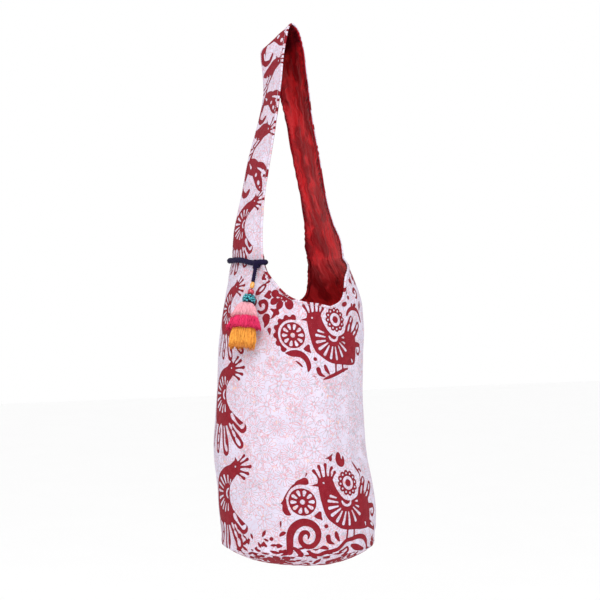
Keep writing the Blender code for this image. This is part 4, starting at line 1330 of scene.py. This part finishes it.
# The cloth's pieces
def whole_cloth(spread=1.0, wall_rows=WALL_ROWS, strap_rows=STRAP_ROWS):
    """The front, the back and the strap."""
    walls = (wall_patch(True, spread, wall_rows), wall_patch(False, spread, wall_rows))
    return (*walls, strap_patch(spread, strap_rows))


def pressed(patches, amount):
    """The patches with the fine creases pressed in."""
    moved = []
    for patch in joined(patches):
        height = crease_height(patch.s, patch.t) * amount
        moved.append(patch._replace(grid=patch.grid + patch.normal * height[..., None]))
    return joined(moved)


def wrapped(grid):
    """A grid with its first column once more at its end."""
    return np.concatenate((grid, grid[:, :1]), 1)


Edge = namedtuple("Edge", "grid normal s t inward_s inward_t")


def edge_loop(front, wall, strap):
    """The bag's front or back edge as one loop, with how far the flat places move for each metre in from it."""
    first = wall.grid.shape[1] - SCOOP_COLUMNS * 2 - ROOT_COLUMNS - 1
    run = slice(first, first + 2 * SCOOP_COLUMNS + 1)
    column, inner_column = (-1, -2) if front else (0, 1)
    order = slice(None, None, -1) if front else slice(None)

    def around(key, row, strap_column):
        return np.concatenate((getattr(wall, key)[row, run][:-1], getattr(strap, key)[order, strap_column][:-1]))

    grid, normal, s, t = [around(key, -1, column) for key in ("grid", "normal", "s", "t")]
    inner_grid, inner_s, inner_t = [around(key, -2, inner_column) for key in ("grid", "s", "t")]
    step = np.linalg.norm(inner_grid - grid, axis=1)
    return Edge(grid, normal, s, t, (inner_s - s) / step, (inner_t - t) / step)


def smoothed(values, reach):
    """Rows of a loop, evened out over their neighbours on both sides."""
    kernel = np.hanning(2 * reach + 3)[1:-1]
    kernel /= kernel.sum()
    around = np.concatenate((values[-reach:], values, values[:reach]))
    return np.stack([np.convolve(around[:, k], kernel, "valid") for k in range(values.shape[1])], 1)


def hem_grid(loop, profile, amount):
    """A strip along an edge loop. The profile gives, for each of its rows, how far off the edge and how far out."""
    places = loop.grid + loop.normal * (crease_height(loop.s, loop.t) * amount)[:, None]
    tangent = smoothed(unit(np.roll(places, -2, 0) - np.roll(places, 2, 0)), 3)
    normal = smoothed(loop.normal, 3)
    off = unit(np.cross(normal, tangent))
    return wrapped(np.stack([places + off * away + normal * out for away, out in profile])), off


def ring_band(loop, profile):
    """Flat places of a hem's rows, so that the pattern runs on over the hem."""
    inward = np.array([max(-away, 0.0) for away, _ in profile])[:, None]
    return wrapped(loop.s + inward * loop.inward_s), wrapped(loop.t + inward * loop.inward_t)


def hem_profile(width):
    """The turned edge across: from its inner fold over the outer face, and round the edge to the inside."""
    outside = [(-width, 0.00002), (-width * 0.96, 0.00030), (-width * 0.5, 0.00042), (-0.0004, 0.00035)]
    return outside + [(0.0004, -0.0001), (0.0006, -0.0009), (0.0004, -0.0018), (-0.0006, -0.0022)]


# A hem stitch: its places along a stitch's length, how high it stands there and how thick it is, in radii
STITCH_RADIUS = 0.00028
STITCH_PLACES = np.array([0.10, 0.22, 0.45, 0.68, 0.80])
STITCH_LIFT = np.array([-0.5, 0.5, 0.8, 0.5, -0.5])
STITCH_THICK = np.array([0.6, 1, 1, 1, 0.6])
STITCH_INSET = 0.72


def stitches(loop, off, cloth):
    """Small thread capsules along a loop, inset from the edge."""
    found = Sheets()
    lift = crease_height(loop.s, loop.t) * cloth.crease + 0.0006
    line = loop.grid + loop.normal * lift[:, None] - off * cloth.hem_width * STITCH_INSET
    line = np.concatenate((line, line[:1]))
    lifted = np.concatenate((loop.normal, loop.normal[:1]))
    run = run_along(line)
    for k in range(int(run[-1] / cloth.stitch_length)):
        places = (k + STITCH_PLACES) * cloth.stitch_length
        path = read_at(places, run, line) + read_at(places, run, lifted) * (STITCH_LIFT * STITCH_RADIUS)[:, None]
        found.add(tube_grid(path, STITCH_RADIUS * STITCH_THICK, 5), closed=True)
    return found


def cotton():
    return shared_material(printed_cotton, "printed_cotton_weave", settings().cloth)


class JHOLA_OT_printed_cloth(bpy.types.Operator):
    """Makes the printed walls, the strap and their hems"""

    bl_idname = "jhola.printed_cloth"
    bl_label = "Printed cloth"

    def execute(self, context):
        cloth = settings().cloth
        front, back, strap = whole_cloth()
        names = ("front_cloth", "back_cloth", "strap_cloth")
        for name, patch in zip(names, pressed((front, back, strap), cloth.crease)):
            made = Sheets()
            fields = cloth_fields(patch.s, patch.t, wrap=name != "strap_cloth")
            made.add(patch.grid, normal=patch.normal, **fields)
            made.piece(name, cotton(), "printed_cotton", "outer_cloth")
        thread = shared_material(spun_yarn, "hem_thread", (0.62, 0.55, 0.62), (0.5, 0.42, 0.5), 2.0)
        profile = hem_profile(cloth.hem_width)
        for name, wall in (("front", front), ("back", back)):
            loop = edge_loop(name == "front", wall, strap)
            grid, off = hem_grid(loop, profile, cloth.crease)
            made = Sheets()
            made.add(grid, flip=True, **cloth_fields(*ring_band(loop, profile)))
            made.piece(f"{name}_hem", cotton(), "printed_cotton", "outer_cloth")
            sewn = stitches(loop, off, cloth)
            sewn.piece(f"{name}_hem_stitches", thread, "printed_cotton", "outer_cloth")
        return {"FINISHED"}


def base_places(columns, rings, innermost, reach=1.0):
    """The base, ring by ring from its edge: turn, share of the way out, plan places, and flat places in mm."""
    turn = np.linspace(0, 2 * np.pi, columns, endpoint=False)
    side = np.where(np.cos(turn) >= 0, 1.0, -1.0)
    angle = np.degrees(np.arctan2(np.sin(turn), np.abs(np.cos(turn))))
    edge = wall_points(side, angle, np.full(columns, SEAM_Z))
    middle = edge.mean(0)
    share = reach * np.sin(np.pi / 2 * np.linspace(1, innermost, rings))[:, None]
    plan = middle + (edge - middle)[None] * share[..., None]
    return turn, share, plan, (plan[..., 0] - middle[0]) / MM, (plan[..., 1] - middle[1]) / MM


# The base's puckers at its seam and its slow dents, in mm
BASE_PUCKERS = 36
BASE_PUCKER_HEIGHT = 0.56
BASE_PUCKER_REACH = 9


class JHOLA_OT_base(bpy.types.Operator):
    """Makes the bulging base panel and its seam"""

    bl_idname = "jhola.base"
    bl_label = "Base panel"

    def execute(self, context):
        turn, share, grid, s, t = base_places(300, 110, 0.004)
        fuller = 1 + BASE_FULLER_RIGHT * s * MM / CUT_RADIUS
        from_edge = (1 - share) * CUT_RADIUS / MM
        pucker = np.sin(turn * BASE_PUCKERS + 2.5 * np.sin(turn * 5))[None] * np.exp(-from_edge / BASE_PUCKER_REACH)
        soft = lattice_noise(s / 30 + 5, t / 30, 21) + 0.35 * lattice_noise(s / 11, t / 11, 22)
        uneven = BASE_PUCKER_HEIGHT * pucker + soft * (1 - np.exp(-from_edge / 12))
        grid[..., 2] = SEAM_Z - BASE_DEPTH * (1 - share**BASE_ROUNDNESS) * fuller + uneven * MM
        made = Sheets()
        made.add(wrapped(grid), flip=True, **cloth_fields(wrapped(s), wrapped(t), base_stamps(), False))
        made.piece("base_cloth", cotton(), "printed_cotton", "base_panel")
        return {"FINISHED"}


# The satin lining
def rim_gap(patch, is_strap):
    """How far each point is from the bag's edge, in mm."""
    if is_strap:
        ends = (patch.grid[:, :1], patch.grid[:, -1:])
        return np.minimum(*[np.linalg.norm(patch.grid - end, axis=2) for end in ends]) / MM
    rim = patch.grid[-1][patch.t[-1] < ROOT_Z / MM - 0.5]
    return np.min(np.linalg.norm(patch.grid[:, :, None] - rim, axis=3), axis=2) / MM


def crinkled(patch, is_strap, height):
    """A patch of lining with its crinkle, gathered at its edges, and how much painted shadow it takes under its edges
    and in the top fold.
    """
    s, t = patch.s, patch.t
    wander = s + 5 * lattice_noise(s / 40 + 2, t / 60, 35)
    crinkle = 0.55 * lattice_noise(wander / 8, t / 45, 31) + 0.30 * lattice_noise(wander / 4 + 3, t / 26, 32)
    crinkle += 0.45 * lattice_noise(s / 16, t / 13, 33)
    left = np.clip(-patch.grid[..., 0] / 0.012, 0, 1)
    from_rim = rim_gap(patch, is_strap)
    tuck = 0.0
    if is_strap:
        # The left half's edges are drawn in, so that the satin doesn't show past the cotton
        inward = unit(patch.grid[:, patch.grid.shape[1] // 2][:, None] - patch.grid)
        above = np.clip((t - ROOT_Z / MM) / 9, 0, 1)
        tuck = inward * (0.0034 * bump_of(from_rim, 8) * left * above)[..., None]
    gather = np.sin(t / 1.5 + 4 * lattice_noise(s / 9, t / 14, 36)) * bump_of(from_rim, 7) * (1 - 0.9 * left)
    depth = 0.0030 + height * (0.8 + crinkle + 0.75 * gather)
    # Painted shadow: under the edges, mottled by the gathers, and in the top fold
    patchy = 0.42 + 0.38 * np.clip(gather, -1, 1) + 0.2 * lattice_noise(s / 6, t / 7, 37)
    deep = np.clip(bump_of(from_rim, 6.5) * patchy + np.clip((t + 36) / 14, 0, 0.75), 0, 0.9)
    return patch._replace(grid=patch.grid - patch.normal * depth[..., None] + tuck), deep


# The rolled edge of the satin: off the edge and out, and how much of the ruffle each row takes
ROLL_PROFILE = [
    (-0.0006, -0.0019), (0.0003, -0.0020), (0.0009, -0.0026), (0.0008, -0.0036), (-0.0004, -0.0042),
    (-0.0026, -0.0040), (-0.0034, -0.0030),
]
ROLL_RUFFLE = np.array([0, 0.5, 1, 1, 0.8, 0.5, 0])[:, None]


def add_rolled_edge(made, front, wall, strap):
    """The satin rolled over the edge: it shows on the strap's right branch and is tucked in elsewhere."""
    loop = edge_loop(front, wall, strap)
    grid, off = hem_grid(loop, ROLL_PROFILE, 1.0)
    run = np.arange(grid.shape[1])
    shown = np.clip(grid[..., 0] / 0.012, 0, 1) * np.clip((grid[..., 2] - ROOT_Z) / 0.020, 0, 1)
    lower = np.clip((-0.17 - grid[..., 2]) / 0.08, 0, 1)
    ruffle = 0.0007 * np.sin(run / 2.1 + 3 * np.sin(run / 9.0)) * ROLL_RUFFLE
    moved = (ruffle + 0.0008 + 0.0016 * lower) * shown - 0.0030 * (1 - shown)
    grid = grid + np.concatenate((off, off[:1]))[None] * moved[..., None]
    s, t = ring_band(loop, ROLL_PROFILE)
    across = np.arange(len(ROLL_PROFILE))[:, None]
    # The rolled edge takes painted shadow all along
    made.add(grid, flip=True, normal=normals_of(grid), flat_s=s + across, flat_t=t, deep=0.62)


def add_lining_bottom(made):
    """The lining's own bottom, a little inside and above the base panel."""
    _, share, plan, s, t = base_places(160, 40, 0.01, 0.972)
    plan[..., 2] = SEAM_Z + 0.0085 - BASE_DEPTH * (1 - share**BASE_ROUNDNESS)
    plan[..., 2] += 0.0008 * lattice_noise(s / 16, t / 16, 34)
    bottom = wrapped(plan)
    made.add(bottom, normal=normals_of(bottom), flat_s=wrapped(s), flat_t=wrapped(t), deep=0.0)


class JHOLA_OT_lining(bpy.types.Operator):
    """Makes the crinkled satin lining inside the bag and the strap"""

    bl_idname = "jhola.lining"
    bl_label = "Satin lining"

    def execute(self, context):
        lining = settings().lining
        made = Sheets()
        coarse = joined(whole_cloth(0.7, 130, 460))
        found = [crinkled(patch, patch is coarse[2], lining.crinkle) for patch in coarse]
        # deep is each point's painted shadow
        for patch, (_, deep) in zip(joined([patch for patch, _ in found]), found):
            made.add(patch.grid, flip=True, normal=patch.normal, flat_s=patch.s, flat_t=patch.t, deep=deep)
        front, back, strap = whole_cloth()
        add_rolled_edge(made, True, front, strap)
        add_rolled_edge(made, False, back, strap)
        add_lining_bottom(made)
        satin = shared_material(crimson_satin, "crimson_satin_crushed", lining)
        made.piece("satin_lining", satin, "crimson_satin", "lining")
        return {"FINISHED"}


# The cord round the left root of the strap, and what hangs from its knot
CORD_RADIUS = 0.0042
BAND_Z = -0.3550
BAND_EDGE_ANGLE = 25.8
BAND_DROOP = 0.0055
KNOT_PLACE = -0.80
Hanging = namedtuple("Hanging", "z bearing standoff")
STRING_TOP = Hanging(-0.3640, -66.0, 0.0072)
STRING_FOOT = Hanging(-0.4700, -61.0, 0.0215)
STRAND_END = -0.3880
Bead = namedtuple("Bead", "name top height radius")
BEADS = [
    Bead("yellow_bead", -0.3883, 0.0100, 0.0034),
    Bead("red_bead", -0.3986, 0.0082, 0.0048),
]
TURQUOISE_TOP = -0.4071
Tuft = namedtuple("Tuft", "name top bottom head waist hem aside frill")
TUFTS = [
    Tuft("pink_tuft", -0.4182, -0.4405, 0.0085, 0.0170, 0.0215, 0.0030, 0.0020),
    Tuft("magenta_tuft", -0.4375, -0.4560, 0.0195, 0.0240, 0.0275, 0.0010, 0.0034),
    Tuft("yellow_tuft", -0.4540, -0.4815, 0.0180, 0.0205, 0.0200, 0.0008, 0.0018),
]
TUFT_FLATNESS = 0.62


def left_wall(angle, z):
    """The place on the wall's left half at an angle and a height."""
    return wall_points(-1.0, np.array([float(angle)]), np.array([float(z)]))[0]


def string_point(z):
    """The place of the hanging string at a height."""
    share = (STRING_TOP.z - z) / (STRING_TOP.z - STRING_FOOT.z)
    share = max(0.0, min(1.3, share))
    bearing = math.radians(STRING_TOP.bearing + (STRING_FOOT.bearing - STRING_TOP.bearing) * share)
    stand = STRING_TOP.standoff + (STRING_FOOT.standoff - STRING_TOP.standoff) * min(1.0, share)
    angle = -math.degrees(math.atan2(math.cos(bearing), -math.sin(bearing)))
    wall = left_wall(angle, min(z, ROOT_Z))
    return wall + np.array((math.sin(bearing), -math.cos(bearing), 0.0)) * stand


def string_turn(z):
    """Rows are the sideways, outward and upward directions of a piece on the string."""
    up = unit(string_point(z + 0.004) - string_point(z - 0.004))
    bearing = math.radians(STRING_TOP.bearing)
    out = np.array((math.sin(bearing), -math.cos(bearing), 0.0))
    sideways = unit(np.cross(out, up))
    return np.stack((sideways, np.cross(up, sideways), up))


def band_loop(steps=90):
    """The cord's way round the strap's root, and the way out of the cloth at each of its points."""
    half_layers = 0.0014
    reach = half_layers - 0.0004 + CORD_RADIUS
    path = []

    def middle(across):
        z = BAND_Z - BAND_DROOP * math.exp(-(((across - KNOT_PLACE) / 0.5) ** 2))
        angle = BAND_EDGE_ANGLE * across
        along = left_wall(angle + 1, z) - left_wall(angle - 1, z)
        out = unit(np.array((-along[1], along[0], 0.0)))
        return left_wall(angle, z) - out * half_layers, out

    for end in (1, -1):
        for k in range(steps):
            place, out = middle(end * (2 * k / (steps - 1) - 1))
            path.append(place + out * reach * end)
        turn_at, out = middle(end)
        along = np.array((-out[1], out[0], 0.0)) * -end
        for degrees in range(20, 180, 20):
            turn = math.radians(degrees)
            path.append(turn_at + out * reach * end * math.cos(turn) + along * reach * math.sin(turn))
    return np.array(path)


def plied(found, path, radius, plies, pitch, closed=False, sides=6, seed=1):
    """Several plies twisted round each other along a path."""
    if closed:
        path = np.concatenate((path, path[:1]))
    run = run_along(path)
    length = run[-1]
    steps = max(8, int(length / 0.0011))
    at = np.linspace(0, length, steps + 1)
    line = read_at(at, run, path)
    tangent = unit(np.gradient(line, axis=0))
    side = unit(np.cross(tangent, np.array([0.31, 0.2, 0.93])))
    up = np.cross(tangent, side)
    turns = max(1, round(length / pitch))
    dice = np.random.RandomState(seed)
    for k in range(plies):
        angle = 2 * np.pi * (k / plies + turns * at / length)
        wave = 1 + 0.10 * np.sin(at / length * 2 * np.pi * dice.randint(5, 11) + dice.uniform(0, 6))
        apart = radius * 0.52 * wave
        ply = line + side * (np.cos(angle) * apart)[:, None] + up * (np.sin(angle) * apart)[:, None]
        found.add(tube_grid(ply, radius * 0.50, sides), closed=True)


# The knot's turns: tilt, size and lift
KNOT_TURNS = ((0.25, 1.0, 0.0012), (-0.5, 0.92, -0.0010), (1.15, 0.85, 0.0), (-1.25, 0.8, -0.0016))


def navy_yarn(tassel):
    return shared_material(spun_yarn, "navy_yarn", tassel.cord_colour, (0.016, 0.010, 0.045), 1.5)


class JHOLA_OT_tie_cord(bpy.types.Operator):
    """Makes the navy cord, its knot and the strand that hangs from it"""

    bl_idname = "jhola.tie_cord"
    bl_label = "Tie cord"

    def execute(self, context):
        tassel = settings().tassel
        found = Sheets()
        loop = band_loop()
        plied(found, loop, CORD_RADIUS * 0.98, 4, 0.013, closed=True, sides=7)
        top = string_point(STRING_TOP.z)
        near = loop[np.argmin(np.linalg.norm(loop - top, axis=1))]
        knot = (near + top) / 2
        turn_to = string_turn(STRING_TOP.z)
        for k, (tilt, size, lift) in enumerate(KNOT_TURNS):
            turn = np.linspace(0, 2 * np.pi, 26, endpoint=False)
            across, along = np.cos(turn) * 0.0040, np.sin(turn) * 0.0046
            ring = np.stack((across * size, along * size, across * tilt + lift), 1)
            plied(found, knot + ring @ turn_to, 0.0021, 3, 0.008, closed=True, seed=k + 2)
        heights = np.linspace(STRING_TOP.z + 0.001, STRAND_END + 0.0002, 24)
        strand = np.array([string_point(z) for z in heights])
        plied(found, np.concatenate((knot[None], strand[2:])), CORD_RADIUS * 0.70, 3, 0.011, seed=9)
        found.piece("navy_tie_cord", navy_yarn(tassel), "navy_cord", "tie_cord")
        return {"FINISHED"}


# The turquoise beads' rows: depth, radius and count; and the dark thread's rings between them: depth and radius
SEED_ROWS = ((0.0022, 0.0060, 11), (0.0054, 0.0078, 13), (0.0086, 0.0076, 13))
THREAD_RINGS = ((0.0004, 0.0050), (0.0038, 0.0078), (0.0070, 0.0086), (0.0102, 0.0080))


class JHOLA_OT_beads(bpy.types.Operator):
    """Makes the two round beads and the rings of turquoise seed beads"""

    bl_idname = "jhola.beads"
    bl_label = "Beads"

    def execute(self, context):
        tassel = settings().tassel
        looks = (
            (glassy, "amber_glass", tassel.amber, (0.62, 0.24, 0.03), 0.22, 0.5),
            (glassy, "ruby_glass", tassel.ruby, (0.30, 0.004, 0.02), 0.10, 0.8),
        )
        for bead, look in zip(BEADS, looks):
            profile = []
            steps = 30
            for k in range(steps + 1):
                turn = math.pi * k / steps
                radius = bead.radius * max(0.0, math.sin(turn)) ** 0.55
                profile.append((max(radius, 0.0007), bead.height / 2 * (1 - math.cos(turn))))
            grid = revolved(profile, 36) @ string_turn(bead.top) + string_point(bead.top)
            made = Sheets()
            made.add(grid, closed=True, flip=True)
            slot = look[1].replace("glass", "bead")
            made.piece(f"{bead.name}_glass", shared_material(*look), slot, bead.name)

        turn_to = string_turn(TURQUOISE_TOP)
        top = string_point(TURQUOISE_TOP)
        seeds, thread = Sheets(), Sheets()
        dice = np.random.RandomState(5)
        ball = []
        for k in range(9):
            a = math.pi * k / 8
            ball.append((max(0.0002, 0.0024 * math.sin(a)), 0.0021 * (1 - math.cos(a))))
        for row, (down, radius, count) in enumerate(SEED_ROWS):
            for k in range(count):
                a = 2 * math.pi * (k + 0.5 * row) / count
                lift = dice.uniform(-0.0006, 0.0006) + 0.0008 * (-1) ** k
                spot = np.array((radius * math.cos(a), radius * math.sin(a), lift - down))
                grid = revolved(ball, 12) + (0, 0, 0.0021)
                seeds.add((grid * dice.uniform(0.88, 1.05) + spot) @ turn_to + top, closed=True, flip=True)
        for down, radius in THREAD_RINGS:
            a = np.linspace(0, 2 * np.pi, 40, endpoint=False)
            ring = np.stack((radius * np.cos(a), radius * np.sin(a), -down + 0.0007 * np.sin(a * 6)), 1)
            plied(thread, ring @ turn_to + top, 0.0009, 2, 0.005, closed=True, sides=5)
        core = revolved([(0.002, 0.0), (0.0052, 0.0006), (0.0068, 0.004), (0.0066, 0.009), (0.003, 0.0112)], 24)
        thread.add(core @ turn_to + top, closed=True, flip=True)
        look = (tassel.turquoise, (0.02, 0.20, 0.27), 0.22, 0.6, 0.5)
        glaze = shared_material(glassy, "turquoise_glaze", *look)
        seeds.piece("turquoise_seed_beads", glaze, "turquoise_bead", "turquoise_beads")
        thread.piece("bead_thread", navy_yarn(tassel), "turquoise_bead", "turquoise_beads")
        return {"FINISHED"}


def tuft_radius(tuft, share):
    """The tuft's radius at a share of its height, from its head down."""
    if share < 0.5:
        return tuft.head + (tuft.waist - tuft.head) * math.sin(math.pi * share)
    return tuft.waist + (tuft.hem - tuft.waist) * (2 * share - 1)


class JHOLA_OT_tufts(bpy.types.Operator):
    """Makes the three tiers of loose yarn"""

    bl_idname = "jhola.tufts"
    bl_label = "Tufts"

    def execute(self, context):
        tassel = settings().tassel
        dyes = ((tassel.pink, "pink_yarn"), (tassel.magenta, "magenta_yarn"), (tassel.saffron, "saffron_yarn"))
        for number, (tuft, (dye, slot)) in enumerate(zip(TUFTS, dyes)):
            turn_to = string_turn(tuft.top)
            top = string_point(tuft.top) + turn_to[0] * tuft.aside
            height = tuft.top - tuft.bottom
            dice = np.random.RandomState(40 + number)
            found = Sheets()
            core = [(tuft_radius(tuft, k / 12) * 0.86, height * k / 12 * 0.93) for k in range(13)]
            core = [(0.001, 0.0005)] + core + [(0.001, height * 0.88)]
            grid = revolved(core, 48)
            grid[..., 1] *= TUFT_FLATNESS
            # The core inside the strands gets painted shade
            found.add(grid @ turn_to + top, closed=True, flip=True, shade=0.8)
            for _ in range(tassel.strands):
                turn = dice.uniform(0, 2 * math.pi)
                depth = dice.uniform(0.80, 1.04)
                length = dice.uniform(0.80, 1.04) + 0.08 * math.sin(turn * 7 + number) + 0.07 * math.sin(turn * 13)
                tone = dice.uniform(0, 1) ** 2
                start = dice.uniform(-0.02, 0.35) if dice.uniform() < 0.4 else 0.0
                sway, wave, phase = dice.uniform(-0.22, 0.22), dice.uniform(0.0003, 0.0011), dice.uniform(0, 6.3)
                path = []
                shares = np.linspace(start, length, 9)
                for share in shares:
                    radius = tuft_radius(tuft, min(1.0, max(0.0, share))) * depth
                    a = turn + sway * share + wave / radius * math.sin(share * 9 + phase)
                    radius += wave * math.cos(share * 8 + phase)
                    radius += tuft.frill * math.sin(turn * 9 + number) * max(0.0, share - 0.3)
                    path.append((radius * math.cos(a), radius * math.sin(a) * TUFT_FLATNESS, -height * share))
                thick = tassel.strand_radius * dice.uniform(0.7, 1.2)
                width = thick * np.array([0.7, 1, 1, 1, 1, 1, 1, 0.9, 0.5])
                shade = np.clip(0.55 * tone + np.clip(shares - 0.72, 0, 1) * 2.2, 0, 1)[:, None]
                found.add(tube_grid(np.array(path) @ turn_to + top, width, 4), closed=True, shade=shade)
            dark = [part * share for part, share in zip(dye, (0.62, 0.42, 0.42))]
            yarn = shared_material(spun_yarn, f"{slot}_spun", tuple(dye), dark, 1.0)
            found.piece(f"{tuft.name}_yarn", yarn, slot, tuft.name)
        return {"FINISHED"}


class JHOLA_OT_stage(bpy.types.Operator):
    """Makes the floor, the soft lights and the camera"""

    bl_idname = "jhola.stage"
    bl_label = "Stage"

    def execute(self, context):
        stage = settings().stage
        cage = bmesh.new()
        bmesh.ops.create_grid(cage, x_segments=8, y_segments=8, size=9.0)
        mesh = bpy.data.meshes.new("floor")
        cage.to_mesh(mesh)
        cage.free()
        mesh.materials.append(pale_floor("pale_floor", stage.floor_colour))
        floor = bpy.data.objects.new("floor", mesh)
        floor.location.z = stage.floor_height
        context.scene.collection.objects.link(floor)

        world = bpy.data.worlds.new("soft_room")
        world.use_nodes = True
        world.node_tree.nodes["Background"].inputs["Color"].default_value = (1.0, 1.0, 1.0, 1.0)
        world.node_tree.nodes["Background"].inputs["Strength"].default_value = stage.light
        context.scene.world = world
        context.scene.view_settings.view_transform = "Standard"
        turn = stage.camera_azimuth
        away = Vector((math.sin(turn), -math.cos(turn), 0.0))
        right = Vector((math.cos(turn), math.sin(turn), 0.0))
        centre = Vector((0.0, 0.0, stage.camera_height))
        for name, place, power, size in (
            ("key", centre + away * 1.5 - right * 0.1 + Vector((0, 0, 0.9)), 14.0, 0.9),
            ("fill", centre + away * 1.2 + right * 1.2 + Vector((0, 0, 0.1)), 1.0, 1.2),
        ):
            light = bpy.data.lights.new(name, "AREA")
            light.energy = power * stage.light
            light.size = size
            lamp = bpy.data.objects.new(name, light)
            lamp.location = place
            lamp.rotation_euler = (place - centre).to_track_quat("Z", "Y").to_euler()
            context.scene.collection.objects.link(lamp)

        lens = bpy.data.cameras.new("camera")
        lens.lens = stage.lens
        lens.sensor_width = 36.0
        lens.shift_x = 8 / 600
        camera = bpy.data.objects.new("camera", lens)
        camera.location = centre + away * stage.camera_distance
        camera.rotation_euler = away.to_track_quat("Z", "Y").to_euler()
        context.scene.collection.objects.link(camera)
        context.scene.camera = camera
        return {"FINISHED"}


STEPS = (
    JHOLA_OT_stage, JHOLA_OT_printed_cloth, JHOLA_OT_base, JHOLA_OT_lining, JHOLA_OT_tie_cord, JHOLA_OT_beads,
    JHOLA_OT_tufts,
)


class JHOLA_PT_panel(bpy.types.Panel):
    bl_idname = "JHOLA_PT_panel"
    bl_label = "Jhola bag"
    bl_space_type = "VIEW_3D"
    bl_region_type = "UI"
    bl_category = "Bag"

    def draw(self, context):
        for step in STEPS:
            self.layout.operator(step.bl_idname)
        for group in (settings().cloth, settings().lining, settings().tassel, settings().stage):
            box = self.layout.box()
            for key in group.bl_rna.properties.keys():
                if key not in ("rna_type", "name"):
                    box.prop(group, key)


CLASSES = (
    JHOLA_cloth_settings, JHOLA_lining_settings, JHOLA_tassel_settings, JHOLA_stage_settings, JHOLA_settings,
    *STEPS, JHOLA_PT_panel,
)


def register():
    for made in CLASSES:
        bpy.utils.register_class(made)
    bpy.types.Scene.jhola_bag = bpy.props.PointerProperty(type=JHOLA_settings)


def unregister():
    del bpy.types.Scene.jhola_bag
    for made in reversed(CLASSES):
        bpy.utils.unregister_class(made)


def main():
    register()
    for step in (
        bpy.ops.jhola.stage, bpy.ops.jhola.printed_cloth, bpy.ops.jhola.base, bpy.ops.jhola.lining,
        bpy.ops.jhola.tie_cord, bpy.ops.jhola.beads, bpy.ops.jhola.tufts,
    ):
        step()


if __name__ == "__main__":
    main()
